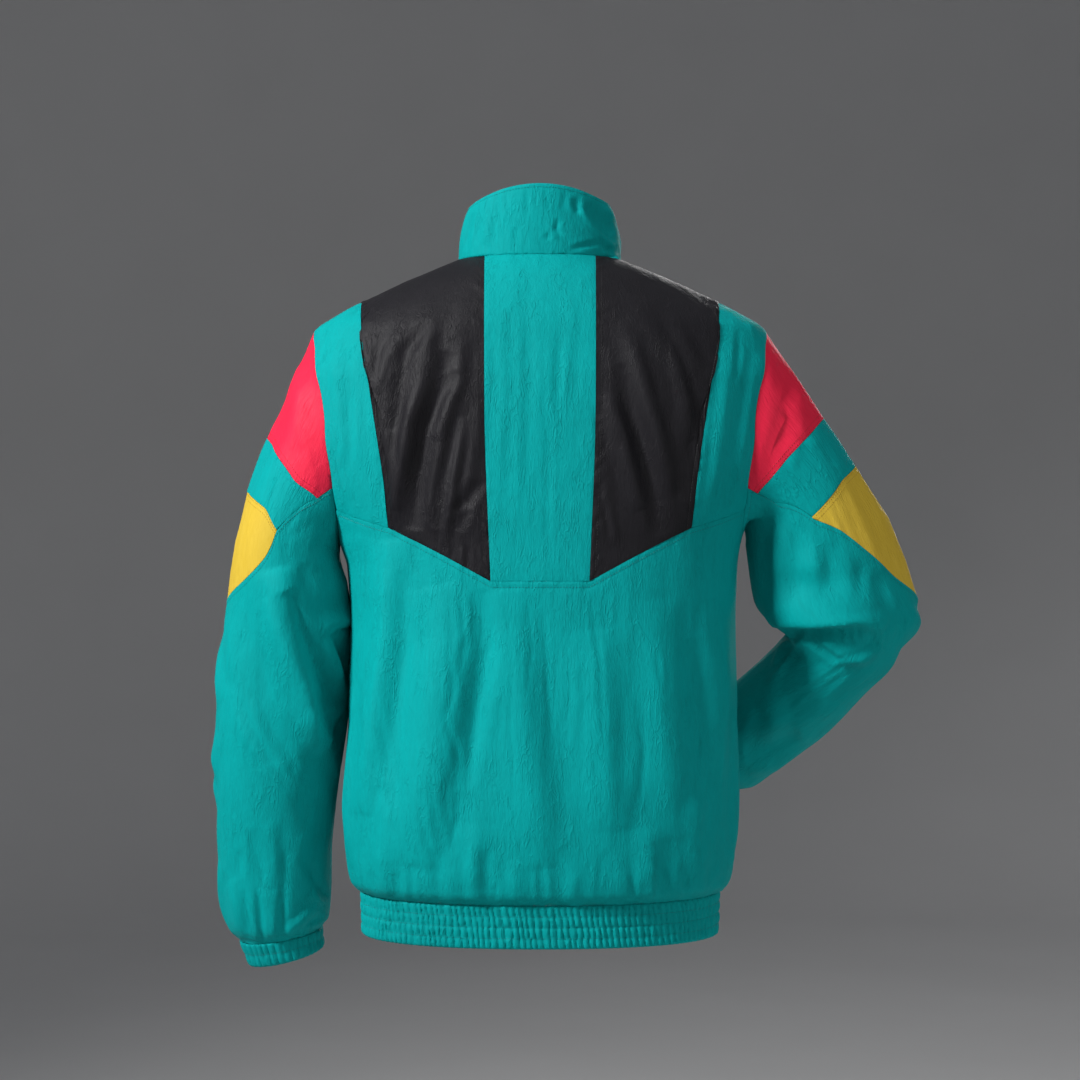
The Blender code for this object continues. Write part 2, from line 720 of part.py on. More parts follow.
def both_sides(half):
    """An edge from turn 0 to the back tip, made into one from the front tip to the back tip."""
    return [(row, -turn) for row, turn in half[::-1]] + half[1:]


def bowed(start, corners, count):
    """Places from start through the corners, evenly by turn."""
    line = np.array((start,) + tuple(corners), float)
    order = np.argsort(line[:, 1])
    turns = np.linspace(line[0, 1], line[-1, 1], count + 1)
    return [(rounded(line[order, 1], line[order, 0], turn), turn) for turn in turns]


def sleeve_edges(name):
    seams = SLEEVE_SEAMS[name]
    across = len(ARMHOLE_TO_SLEEVE_SEAM) - 1
    top = [(0, turn) for turn in ARMHOLE_TO_SLEEVE_SEAM]
    red_low = bowed((seams["red_outer"], 0), seams["red_low"], across)
    yellow_top = bowed((seams["yellow_outer"], 0), seams["yellow_top"], across)
    lower = bowed(seams["yellow_tip_end"], seams["yellow_lower"], across)[::-1]
    return {
        "armhole": top,
        "red_side": spread(top[-1], seams["red_tip"], RED_ROWS),
        "red_low": red_low,
        "band_side": spread(seams["red_tip"], seams["band_middle"], BAND_ROWS // 2)[:-1]
        + spread(seams["band_middle"], seams["yellow_tip"], BAND_ROWS // 2),
        "yellow_top": yellow_top,
        "yellow_side": spread(seams["yellow_tip"], seams["yellow_tip_end"], YELLOW_ROWS),
        "yellow_low": lower,
    }


def sleeve_wall(name, grid, colour, side_name, closed=False):
    sleeve = SLEEVES[side_name]
    cuff_row = CUFF_ROWS[side_name][0]
    points = [[sleeve(*place) for place in row] for row in grid]
    normals = []
    for row in grid:
        normals.append([])
        for at, turn in row:
            if at < NEAR:
                normals[-1].append(armhole_mitre(side_name, turn))
            elif abs(at - cuff_row) < NEAR:
                normals[-1].append(sleeve.ring_normal(cuff_row, turn))
            else:
                normals[-1].append(sleeve_normal(sleeve, at, turn))
    wall(name, points, normals, colour, closed=closed)


def make_sleeve(name):
    edges = sleeve_edges(name)
    parts = (
        ("red", "armhole", "red_low", "red_side", "red"),
        ("band", "red_low", "yellow_top", "band_side", "teal"),
        ("yellow", "yellow_top", "yellow_low", "yellow_side", "yellow"),
    )
    for part, top, bottom, side, colour in parts:
        front = [(row, -turn) for row, turn in edges[side]]
        grid = patch(both_sides(edges[top]), both_sides(edges[bottom]), front, edges[side])
        sleeve_wall(f"sleeve_{name}_{part}", grid, colour, name)
    # The main piece hangs from the armhole below the seam and from the whole seam.
    half = edges["yellow_low"] + edges["yellow_side"][-2::-3] + edges["band_side"][-2::-1]
    half += edges["red_side"][-2::-1]
    half += [(0, turn) for turn in ARMHOLE_TURNS if turn > ARMHOLE_TO_SLEEVE_SEAM[-1]]
    top = both_sides(half)[1:]
    cuff_row = CUFF_ROWS[name][0]
    shares = np.linspace(0, 1, MAIN_ROWS + 1)
    grid = np.zeros((len(shares), len(top), 2))
    for i, (start, turn) in enumerate(top):
        place = abs(i + 1 - len(top) / 2)
        even = math.copysign(np.interp(place, *CUFF_SPREAD), turn)
        for j, share in enumerate(shares):
            settled = min(1, share / SETTLED_BY)
            grid[j, i, 0] = start + (cuff_row - start) * share
            grid[j, i, 1] = turn + (even - turn) * settled * settled * (3 - 2 * settled)
    sleeve_wall(f"sleeve_{name}_main", grid, "teal", name, closed=True)


# --- front zip ------------------------------------------------------------------------------------
SLIDER_HEIGHT = 0.78  # share of the collar's height where the slider stands
SLIDER_SIZE = (9.0, 4.0, 14.0)
SLIDER_STANDS = 0.7  # more than the seam gap, because the collar leans under it
PULL_SIZE = (7.0, 2.0, 30.0)
PULL_GRIP = 0.62  # share of the pull's length that is its wider grip
PULL_NECK = 3.6  # width of the pull between the ears
PULL_END = 1.0  # from the hinge to the pull's upper end
EAR_SIZE = (1.5, 6.0, 5.0)
EAR_OUT = 3.0  # from the centre to the middle of each ear
HINGE_OUT = 2.0  # from the slider's face to the pull's hinge
HINGE_UP = 3.5  # above the slider's middle


def zip_line():
    """Points and normals down the centre front, from the collar's top to the hem."""
    line = []
    for height in (1, 0.9, 0.72, 0.45, 0.2, 0.08):
        line.append((collar(0, height), collar_normal(0, height)))
    for share in np.linspace(0.02, 0.97, 17):
        level = share * WAIST_SEAM
        line.append((body(0, level), body_normal(0, level)))
    for level in (-620, WAIST_SEAM, -640, -654, HEM):
        line.append((body(0, level), waist_normal(0)))
    return line


def make_zip_tapes():
    for name, side in (("left", 1), ("right", -1)):
        points, normals = [], []
        for point, normal in zip_line():
            row = [point + np.array((side * x, 0, 0)) for x in (0, ZIP_HALF)]
            points.append(row)
            normals.append([normal, normal])
        wall(f"zip_tape_{name}", points, normals, "tape", folds=False)


def rounded_box(name, centre, size, colour, bevel):
    mesh = bmesh.new()
    bmesh.ops.create_cube(mesh, size=1)
    bmesh.ops.scale(mesh, vec=[s * MM for s in size], verts=mesh.verts)
    bmesh.ops.bevel(mesh, geom=mesh.edges, offset=bevel * MM, segments=1, affect="EDGES")
    bmesh.ops.translate(mesh, vec=[c * MM for c in centre], verts=mesh.verts)
    return piece(name, mesh, colour)


def slider_place():
    return collar(0, SLIDER_HEIGHT) + collar_normal(0, SLIDER_HEIGHT) * (
        WALL + SEAM_GAP + SLIDER_STANDS + SLIDER_SIZE[1] / 2
    )


def unite(target, other):
    """Joins another object into the target and removes it."""
    change = target.modifiers.new("union", "BOOLEAN")
    change.operation = "UNION"
    change.object = other
    bpy.context.view_layer.update()
    evaluated = target.evaluated_get(bpy.context.evaluated_depsgraph_get())
    made = bpy.data.meshes.new_from_object(evaluated)
    target.modifiers.clear()
    target.data = made
    bpy.data.objects.remove(other)


def make_slider_and_pull():
    """A slider on the closed zip with two ears, and a pull tab that hangs between them on an axis
    along X."""
    place = slider_place()
    hinge = place + np.array((0, -SLIDER_SIZE[1] / 2 - HINGE_OUT, HINGE_UP))
    slider = rounded_box("zip_slider", place, SLIDER_SIZE, "metal", 0.8)
    for side in (-1, 1):
        ear_place = hinge + np.array((side * EAR_OUT, EAR_SIZE[1] / 2 - HINGE_OUT / 2, 0))
        unite(slider, rounded_box("ear", ear_place, EAR_SIZE, "metal", 0.3))
    end = hinge[2] + PULL_END
    length = PULL_SIZE[2]
    pull_place = (0, hinge[1], end - length / 2)
    pull = rounded_box("zip_pull", pull_place, (PULL_NECK, PULL_SIZE[1], length), "metal", 0.4)
    grip = length * PULL_GRIP
    grip_size = (PULL_SIZE[0], PULL_SIZE[1] * 1.2, grip)
    unite(pull, rounded_box("grip", (0, hinge[1], end - length + grip / 2), grip_size, "metal", 0.5))
    # The pull's own origin lies on its hinge.
    pull.data.transform(Matrix.Translation(-hinge * MM))
    pull.location = hinge * MM


# --- build ----------------------------------------------------------------------------------------
def clear_scene():
    for made in list(bpy.data.objects):
        bpy.data.objects.remove(made)
    bpy.context.scene.collection.children.link(bpy.data.collections.new("windbreaker"))


clear_scene()
make_back()
make_fronts()
make_collar()
make_waistband()
for side_name in SLEEVES:
    make_sleeve(side_name)
    make_cuff(side_name)
make_zip_tapes()
make_slider_and_pull()
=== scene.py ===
"""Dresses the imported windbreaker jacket: every cut piece as a thin shell on the form of its solid,
with its creases, crinkle, gathers, seams and stitching, in a plain studio.

Surface work is in millimetres on the same kinds of surface as the solids: the body as (angle,
level), the collar as (angle, share of its height) and a sleeve as (row, turn). +Z is up, the
wearer's back is +Y and their left is +X.
"""

import itertools
import math

import bpy
import numpy as np
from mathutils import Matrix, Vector


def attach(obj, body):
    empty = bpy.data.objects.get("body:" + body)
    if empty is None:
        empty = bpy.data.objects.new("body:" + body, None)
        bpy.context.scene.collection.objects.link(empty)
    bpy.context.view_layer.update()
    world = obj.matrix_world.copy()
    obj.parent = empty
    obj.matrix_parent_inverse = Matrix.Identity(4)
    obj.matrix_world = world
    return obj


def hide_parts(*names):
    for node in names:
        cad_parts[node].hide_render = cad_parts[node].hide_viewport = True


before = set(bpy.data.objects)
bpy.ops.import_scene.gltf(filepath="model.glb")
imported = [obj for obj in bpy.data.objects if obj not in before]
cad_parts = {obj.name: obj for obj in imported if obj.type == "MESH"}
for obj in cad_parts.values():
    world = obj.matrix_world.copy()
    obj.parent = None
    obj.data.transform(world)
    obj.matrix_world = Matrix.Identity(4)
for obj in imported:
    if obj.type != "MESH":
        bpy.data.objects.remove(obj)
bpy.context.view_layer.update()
MM = 0.001

# --- sizes shared with the solids -----------------------------------------------------------------
WALL = 1.5
SEAM_GAP = 0.3
SEAM_LEAN = 12.0
ZIP_HALF = 6.5
NECK_DROP = 55.0
NECK_DROP_ENDS = -160.0
SHOULDER_SEAM_START = 82.0
SHOULDER_TIP = -71.0
BLACK_SHOULDER = -43.0
ARMHOLE_MIDDLE = -173.0
ARMHOLE_HALF = 102.0
ARMHOLE_BULGE = 33.0
UNDERARM = ARMHOLE_MIDDLE - ARMHOLE_HALF
WAIST_SEAM = -626.0
HEM = -668.0
SLEEVE_SEAM_TURN = 122.0  # where the red piece ends on the armhole
YOKE_MEETS_ARMHOLE = 137.0

BODY_COLUMNS = ("level", "half_width", "back", "front", "squareness", "left_in")
BODY_ROWS = (
    (0, 80, 62, 72, 2.0, 0),
    (-12, 110, 71, 79, 2.0, 0),
    (-25, 140, 79, 86, 2.05, 0),
    (-40, 171, 86, 91, 2.1, 0),
    (-55, 201, 92, 96, 2.15, 0),
    (-71, 224, 97, 101, 2.2, 0),
    (-85, 230, 100, 104, 2.3, 0),
    (-122, 241, 108, 111, 2.4, 0),
    (-173, 241, 114, 117, 2.4, 0),
    (-224, 225, 117, 120, 2.4, 0),
    (-261, 206, 119, 121, 2.4, 0),
    (-275, 200, 119, 121, 2.4, 0),
    (-305, 195, 120, 122, 2.4, 5),
    (-360, 193, 121, 123, 2.4, 6.5),
    (-440, 195, 125, 127, 2.4, 6.2),
    (-540, 196, 128, 130, 2.4, 1),
    (-598, 191, 126, 128, 2.4, 0),
    (-614, 188, 123, 125, 2.4, 0),
    (-621, 183, 118, 121, 2.35, 0),
    (-626, 176, 112, 115, 2.3, 0),
    (-668, 175, 109, 112, 2.3, 0),
)
COLLAR_COLUMNS = ("height", "half_width", "back", "front")
COLLAR_ROWS = ((0, 80, 62, 72), (0.35, 79, 61, 69), (0.75, 75, 59.5, 66), (1, 70, 58, 63))
COLLAR_TOP = {"back": 70.0, "side": 53.0, "front": 38.0}
YOKE_SEAM = ((47, -317), (97, -290), (145, -266))
BLACK_INNER = ((54, 0), (53, -150), (47, -317))
BLACK_OUTER = ((176, BLACK_SHOULDER), (170, -95), (163, -136), (150, -220), (145, -266))

# Sleeve sections: centre (outward, y, z), lean, half width, half depth.
SLEEVE_SECTIONS = {
    "left": (
        (250.4, 4, -279, 17, 50.8, 61),
        (251.7, -1, -344, 3, 59.8, 62),
        (257.7, -8, -438, 0, 64.8, 61),
        (264, -16, -518, -2, 61, 59),
        (267.5, -24, -591, -3, 56, 54),
        (267, -28, -640, -4, 54, 50),
        (265, -30, -663, -6, 50, 46),
        (262.5, -31, -676, -9, 40, 37),
        (257.5, -33, -699, -13, 36, 33),
    ),
    "right": (
        (260, -2, -234, 23, 61, 62),
        (289, -10, -316, 20, 76, 66),
        (314, -20, -358, 12, 66, 62),
        (309, -30, -380, -6, 56, 56),
        (288, -48, -408, -30, 49, 52),
        (261, -72, -440, -48, 49, 49),
        (222, -101, -475, -48, 47, 47),
        (194, -122, -500, -48, 45, 45),
        (184, -129, -509, -48, 36, 36),
        (164, -144, -527, -48, 33, 33),
    ),
}
CUFF_ROWS = {"left": (8, 9), "right": (9, 10)}
SLEEVE_SEAMS = {
    "left": {
        "red_outer": 0.5,
        "red_low": ((0.495, 78), (0.365, 111)),
        "red_tip": (0.365, 111),
        "band_middle": (0.65, 96.5),
        "yellow_outer": 0.77,
        "yellow_top": ((0.785, 60), (0.9, 82.5)),
        "yellow_tip": (0.9, 82.5),
        "yellow_tip_end": (0.92, 82.5),
        "yellow_lower": ((1.065, 78.5), (1.27, 70.5), (1.64, 45), (2.0, 0)),
    },
    "right": {
        "red_outer": 0.585,
        "red_low": ((0.535, 68), (0.44, 106), (0.33, 121)),
        "red_tip": (0.33, 121),
        "band_middle": (0.805, 117.5),
        "yellow_outer": 0.93,
        "yellow_top": ((0.97, 46), (1.07, 71), (1.2, 93.5)),
        "yellow_tip": (1.2, 93.5),
        "yellow_tip_end": (1.22, 93.5),
        "yellow_lower": ((1.41, 75), (1.755, 57.5), (2.265, 38), (2.9, 0)),
    },
}

# The main folds of the solids, as lines in space: start, end, height, half width.
MAIN_FOLDS = (
    ((100, 95, -40), (130, 95, -235), 3.5, 15),
    ((75, 80, -60), (92, 105, -262), 4.0, 13),
    ((-95, 95, -40), (-118, 100, -240), 3.5, 15),
    ((-128, 85, -60), (-140, 95, -250), 3.0, 12),
    ((144, 108, -297), (164, 100, -500), 3.0, 16),
    ((95, 122, -335), (112, 122, -560), 4.0, 20),
    ((27, 126, -354), (-5, 126, -590), 3.0, 18),
    ((-57, 124, -373), (-68, 126, -560), 3.5, 18),
    ((-109, 118, -370), (-125, 116, -540), 3.0, 19),
    ((60, 122, -545), (62, 117, -608), 3.0, 13),
    ((-103, 118, -550), (-100, 110, -608), 3.0, 13),
    ((150, 100, -520), (146, 92, -604), 3.0, 15),
    ((-150, 100, -520), (-150, 90, -604), 3.0, 15),
    ((262, 50, -307), (194, 40, -437), 6.0, 14),
    ((235, 50, -445), (200, 30, -484), 5.0, 12),
    ((298, 40, -443), (232, 45, -553), 4.0, 13),
    ((236, 40, -569), (218, 30, -615), 4.0, 12),
    ((-232, 55, -362), (-345, 45, -366), 7.0, 12),
    ((-270, 40, -386), (-330, 30, -395), 5.0, 11),
    ((-250, 60, -300), (-320, 50, -335), 4.0, 14),
    ((-215, 60, -290), (-226, 50, -345), 3.5, 12),
    ((-300, -10, -440), (-240, -60, -468), 3.5, 13),
    ((60, -118, -230), (150, -90, -300), 3.0, 22),
    ((-60, -118, -230), (-150, -90, -300), 3.0, 22),
    ((50, -128, -480), (60, -124, -606), 3.5, 18),
    ((-50, -128, -480), (-60, -124, -606), 3.5, 18),
    ((115, -118, -490), (120, -108, -606), 3.5, 18),
    ((-115, -118, -490), (-120, -108, -606), 3.5, 18),
    ((282, -60, -330), (250, -66, -430), 4.0, 14),
    ((300, -60, -500), (256, -80, -590), 4.0, 14),
)
MEETING_FOLD = ((192, 6, -290), (190, 0, -450), 0.9, 18)  # where the left sleeve rests by the body

# --- sizes of the cloth's finish ------------------------------------------------------------------
CLOTH = 0.7  # thickness of a shell
CELL = 2.5  # target size of a mesh cell where the camera looks
HIDDEN_CELL = 3.5
BLACK_CELL = CELL * 0.85
COLLAR_GRID = (34, 240)
BLACK_CRINKLE, COLLAR_CRINKLE, BRIGHT_CRINKLE = 0.7, 0.5, 0.6  # crumples, next to the teal's 1
CAMERA_PLACE = (0.0, 2300.0, -278.0)
FRAME_PIXELS = 1080

CREASE_DEPTH = ((3, 10, 20, 40), (0.85, 1.0, 1.7, 2.0))  # whole width, and factor on the height

# Creases of the cloth, listed by the cloth they lie on and the view that their places are in:
# "seen" is the photograph's pixels, and "front", "left" and "right" are millimetres on that
# side. A row is the height (a trough is negative), the half width on the line's left and on its
# right, and the line's places in turn, each as two numbers.
CREASES = {}
CREASES["body", "seen"] = (
    (3.4, 17, 28, 440, 585, 452, 640, 446, 690, 441, 745, 430, 805, 422, 868),
    (4.0, 14, 14, 388, 540, 390, 640, 381, 700, 371, 765, 364, 815),
    (2.0, 16, 26, 506, 590, 516, 650, 528, 720, 538, 800, 545, 868),
    (1.7, 20, 26, 598, 630, 604, 700, 608, 760, 614, 830),
    (1.6, 22, 24, 655, 600, 661, 690, 668, 770, 676, 840),
    (2.6, 8, 16, 716, 600, 722, 690, 718, 780),
    (-2.4, 9, 9, 480, 590, 486, 650, 474, 720, 462, 790),
    (-2.6, 8, 8, 404, 570, 402, 650, 392, 720, 384, 780),
    (-2.0, 10, 10, 690, 640, 697, 720, 700, 800),
    (1.2, 2.5, 4, 468, 590, 470, 615, 467, 640),
    (1.4, 3, 4, 458, 600, 461, 640, 456, 672),
    (-1.2, 3, 3, 452, 660, 455, 690, 447, 722),
    (-1.3, 3, 3, 449, 720, 456, 745, 461, 775),
    (1.0, 4, 4, 466, 735, 462, 765, 464, 795),
    (1.3, 3.5, 3.5, 444, 770, 441, 800, 447, 835),
    (-1.2, 3, 3, 455, 795, 458, 815, 452, 845),
    (-1.2, 3, 3.5, 424, 790, 427, 825, 432, 860),
    (-1.2, 3, 3, 381, 690, 384, 735, 388, 770),
    (-1.4, 3.5, 3.5, 376, 750, 379, 785, 374, 820),
    (1.0, 3, 3, 368, 700, 372, 760),
    (-0.9, 2.5, 3, 528, 600, 532, 650, 526, 700),
    (-0.9, 2.5, 3, 545, 610, 547, 680, 553, 740),
    (-0.8, 2.5, 3, 514, 650, 511, 720, 515, 790),
    (0.8, 4, 4, 573, 640, 577, 700, 571, 760),
    (-1.0, 3, 3, 591, 600, 599, 660, 603, 740),
    (0.8, 5, 5, 630, 690, 634, 750, 628, 810),
    (-0.8, 2.6, 2.6, 655, 650, 658, 690),
    (-0.7, 3, 3, 640, 720, 644, 760, 640, 800),
    (-1.2, 6, 6, 706, 740, 710, 800, 703, 850),
    (-1.7, 5, 6, 396, 872, 399, 898),
    (-1.0, 3, 3, 411, 862, 413, 899),
    (-1.4, 6, 5, 436, 848, 438, 900),
    (1.2, 6, 6, 452, 850, 456, 902),
    (-1.7, 6, 6, 486, 850, 490, 903),
    (1.2, 6, 6, 475, 840, 473, 903),
    (-0.8, 2.6, 2.6, 497, 880, 495, 904),
    (1.1, 8, 8, 517, 860, 515, 904),
    (-1.6, 4, 4, 541, 862, 543, 904),
    (-1.0, 6, 6, 556, 850, 558, 904),
    (1.2, 5, 5, 574, 872, 571, 904),
    (-1.1, 4, 4, 602, 852, 600, 904),
    (-0.9, 2.6, 2.6, 609, 872, 604, 904),
    (1.1, 6, 6, 618, 850, 622, 903),
    (-1.3, 3, 3, 632, 870, 633, 903),
    (1.2, 7, 7, 648, 850, 654, 902),
    (-1.3, 4, 4, 662, 862, 658, 901),
    (1.0, 5, 5, 672, 860, 678, 899),
    (-1.2, 3, 3, 684, 872, 684, 898),
    (1.0, 6, 6, 700, 850, 699, 893),
    (-1.1, 4, 4, 712, 862, 706, 890),
    (1.3, 2, 3, 722, 828, 731, 862),
    (-1.1, 3, 3, 724, 872, 708, 892),
    (1.0, 7, 6, 380, 850, 386, 893),
    (-1.0, 4, 4, 370, 872, 376, 890),
    (-2.6, 6, 6, 431, 322, 408, 352, 400, 388, 396, 432),
    (-3.6, 10, 9, 448, 352, 437, 392, 424, 430, 418, 480, 414, 530),
    (2.6, 8, 8, 430, 372, 413, 420, 402, 470, 396, 510),
    (-2.2, 5, 5, 456, 372, 452, 395),
    (2.6, 5, 6, 464, 340, 458, 385, 447, 412, 436, 440),
    (-2.8, 6, 5, 459, 412, 449, 450, 440, 490, 437, 528),
    (2.6, 4, 4, 463, 418, 460, 445, 455, 480, 450, 515, 445, 546),
    (1.4, 7, 5, 478, 400, 474, 450, 466, 500),
    (-2.4, 6, 6, 480, 480, 466, 502, 457, 530),
    (1.5, 4, 4, 470, 505, 458, 515, 456, 528),
    (-1.4, 5, 5, 444, 318, 440, 350, 443, 372),
    (1.7, 6, 6, 400, 330, 388, 360, 380, 395),
    (-1.5, 3, 3, 395, 355, 386, 380, 384, 395),
    (-1.0, 4, 4, 380, 340, 376, 380),
    (1.6, 5, 5, 388, 430, 392, 480, 396, 520),
    (1.0, 2.6, 2.6, 462, 548, 463, 568),
    (-1.0, 2.6, 2.6, 468, 546, 469, 570),
    (-0.9, 2.6, 2.6, 453, 545, 451, 560),
    (2.1, 7, 8, 622, 322, 632, 352, 645, 395, 660, 440, 672, 490),
    (-3.2, 9, 8, 618, 365, 630, 410, 642, 450, 652, 495, 660, 535),
    (2.5, 9, 8, 606, 395, 617, 430, 628, 470, 640, 510),
    (-1.3, 3, 3, 605, 410, 616, 425, 622, 450),
    (2.3, 5, 7, 652, 322, 672, 360, 686, 400, 694, 440),
    (1.2, 6, 6, 678, 330, 700, 372),
    (-1.6, 6, 6, 640, 335, 655, 375, 660, 400),
    (-1.4, 8, 8, 700, 400, 690, 450, 684, 500),
    (1.4, 4, 4, 604, 480, 612, 520, 616, 545),
    (-1.3, 3, 3, 603, 500, 610, 535),
    (-1.1, 3, 3, 600, 345, 604, 380, 602, 420),
    (1.4, 2.6, 2.6, 700, 292, 712, 304, 717, 314),
    (-1.2, 2.6, 2.6, 706, 300, 714, 308),
    (-1.3, 5, 5, 345, 330, 352, 390, 350, 440),
    (1.4, 5, 5, 333, 345, 338, 400, 345, 460, 352, 500),
    (-1.0, 5, 5, 360, 350, 366, 420, 372, 480),
    (-1.0, 2.6, 2.6, 327, 330, 324, 352),
    (-1.1, 4, 4, 352, 430, 347, 470, 356, 505),
    (1.4, 5, 5, 730, 340, 724, 400, 716, 460, 705, 520),
    (-1.4, 5, 5, 752, 350, 742, 400, 732, 460, 725, 505),
    (-0.9, 3, 3, 738, 330, 736, 380),
    (-0.6, 5, 5, 527, 300, 530, 380, 527, 450),
    (-0.7, 4, 4, 560, 330, 556, 420),
    (0.6, 6, 6, 515, 400, 518, 500),
    (-0.6, 4, 4, 545, 380, 549, 470, 546, 560),
    (0.6, 5, 5, 572, 300, 568, 400),
    (0.6, 5, 5, 500, 310, 504, 400, 500, 480),
)
CREASES["body", "front"] = (
    (2.4, 8, 8, 25, -520, 28, -615),
    (2.8, 12, 10, 60, -470, 64, -615),
    (2.2, 9, 9, 95, -500, 92, -615),
    (2.6, 12, 12, 130, -480, 124, -612),
    (2.0, 8, 8, 160, -520, 150, -610),
    (2.6, 20, 16, 150, -150, 95, -260, 60, -380),
    (-2.2, 14, 14, 175, -270, 120, -340),
    (1.7, 16, 16, 60, -110, 50, -200),
    (-2.0, 5, 5, 44, -540, 46, -616),
    (-1.8, 4, 4, 78, -560, 79, -616),
    (-2.0, 5, 5, 110, -565, 108, -614),
    (1.2, 12, 12, 40, -300, 46, -420),
    (2.2, 9, 9, -30, -500, -26, -615),
    (2.6, 11, 10, -66, -480, -62, -615),
    (2.3, 9, 9, -98, -520, -96, -615),
    (2.5, 13, 12, -128, -470, -126, -612),
    (2.1, 9, 8, -164, -510, -152, -610),
    (2.7, 18, 18, -150, -160, -90, -270, -62, -360),
    (-1.9, 12, 12, -170, -280, -115, -330),
    (1.6, 18, 14, -52, -120, -60, -220),
    (-2.0, 5, 5, -48, -555, -46, -616),
    (-1.9, 5, 4, -82, -550, -80, -616),
    (-1.8, 4, 5, -112, -570, -112, -614),
    (1.1, 12, 12, -44, -330, -38, -440),
)
CREASES["body", "left"] = (
    (2.0, 10, 10, 40, -420, 45, -600),
    (2.2, 12, 12, -50, -430, -40, -605),
    (-1.7, 10, 10, 0, -480, 0, -612),
    (-1.6, 5, 5, 20, -540, 22, -615),
)
CREASES["body", "right"] = (
    (2.0, 11, 10, 38, -440, 42, -602),
    (2.1, 12, 11, -46, -450, -42, -604),
    (-1.6, 9, 10, -4, -470, 2, -612),
    (-1.6, 5, 5, -24, -545, -22, -615),
)
CREASES["left", "seen"] = (
    (-3.8, 5, 4, 303, 352, 307, 380, 313, 405, 318, 420),
    (2.6, 5, 12, 300, 345, 298, 380, 302, 420, 306, 450),
    (2.2, 3, 3, 315, 388, 313, 408, 318, 420),
    (1.9, 4, 4, 325, 395, 327, 412),
    (-1.4, 2.6, 2.6, 319, 417, 330, 420),
    (1.9, 4, 4, 322, 426, 327, 438),
    (-3.0, 4, 3, 313, 436, 320, 460, 331, 485),
    (1.7, 3, 3, 306, 345, 314, 340),
    (-1.1, 2.6, 2.6, 304, 348, 317, 353),
    (1.0, 2.6, 2.6, 316, 352, 319, 366),
    (-1.0, 4, 4, 284, 400, 281, 440),
    (-1.1, 3, 3, 297, 430, 294, 465),
    (0.8, 4, 4, 274, 425, 277, 460),
    (1.1, 4, 4, 312, 470, 316, 492),
    (7.0, 13, 22, 279, 568, 288, 615, 299, 662, 307, 708, 320, 752),
    (-7.0, 8, 12, 289, 590, 301, 625, 313, 655, 327, 682, 341, 706),
    (3.4, 5, 3.6, 296, 590, 306, 622, 315, 648, 331, 676, 349, 706),
    (1.8, 4, 8, 303, 680, 308, 712, 313, 738, 323, 756),
    (-2.6, 9, 7, 318, 690, 323, 715, 330, 738),
    (4.6, 12, 3.2, 324, 634, 334, 626, 344, 622, 352, 622),
    (-6.0, 6, 3.6, 334, 634, 339, 648, 344, 668, 347, 688),
    (1.8, 3, 5, 328, 640, 330, 655, 340, 678, 348, 694),
    (-3.2, 6, 3, 350, 706, 342, 722, 334, 738, 330, 748),
    (1.8, 6, 6, 330, 752, 340, 775, 345, 800),
    (2.4, 8, 9, 338, 520, 340, 545, 344, 575, 349, 605, 351, 640),
    (1.6, 14, 14, 303, 530, 322, 560, 338, 590),
    (-1.9, 4, 4, 243, 702, 252, 728, 266, 752, 285, 782, 296, 795),
    (1.6, 5, 5, 250, 700, 264, 735, 282, 760, 302, 790),
    (-1.1, 3, 3, 252, 735, 250, 750, 262, 770),
    (1.2, 5, 5, 292, 740, 300, 765, 298, 780),
    (-1.6, 4, 4, 298, 795, 306, 815, 312, 830),
    (-2.4, 6, 5, 322, 800, 316, 830, 306, 860, 316, 880),
    (-2.6, 4, 4, 305, 862, 318, 885, 327, 900),
    (-1.6, 5, 5, 253, 830, 257, 860, 262, 890),
    (1.3, 6, 6, 270, 820, 274, 860, 270, 890),
    (-1.2, 5, 5, 240, 850, 238, 880),
    (-1.1, 4, 4, 283, 850, 287, 890),
    (2.0, 5, 5, 232, 880, 240, 932),
    (-1.9, 4, 4, 244, 890, 250, 940),
    (-2.2, 3, 3, 257, 885, 264, 948),
    (2.0, 6, 6, 270, 890, 273, 944),
    (-1.9, 4, 4, 284, 880, 281, 942),
    (2.4, 4, 4, 316, 905, 300, 920, 284, 935),
    (-1.8, 3, 3, 322, 915, 300, 932),
    (1.8, 5, 5, 310, 893, 322, 905),
    (-1.6, 3, 3, 298, 925, 296, 938),
    (-1.0, 3, 3, 322, 530, 310, 552),
    (-0.9, 3, 3, 330, 545, 314, 575),
    (-0.7, 3, 3, 300, 510, 284, 530),
    (-1.0, 6, 6, 265, 580, 262, 640, 266, 700),
    (1.0, 5, 5, 232, 620, 228, 680),
    (-0.8, 5, 5, 250, 600, 247, 650),
    (1.6, 3, 3, 334, 500, 337, 540, 343, 585, 348, 612),
)
CREASES["left", "left"] = (
    (1.8, 12, 12, 20, -150, -10, -260),
    (2.0, 12, 12, -30, -360, 20, -440),
    (2.3, 12, 12, 10, -470, -45, -560),
    (2.0, 8, 8, -5, -600, -30, -664),
    (1.8, 7, 7, -60, -600, -50, -660),
    (-1.6, 9, 9, -50, -300, -20, -350),
    (-1.6, 9, 9, -40, -480, 0, -530),
)
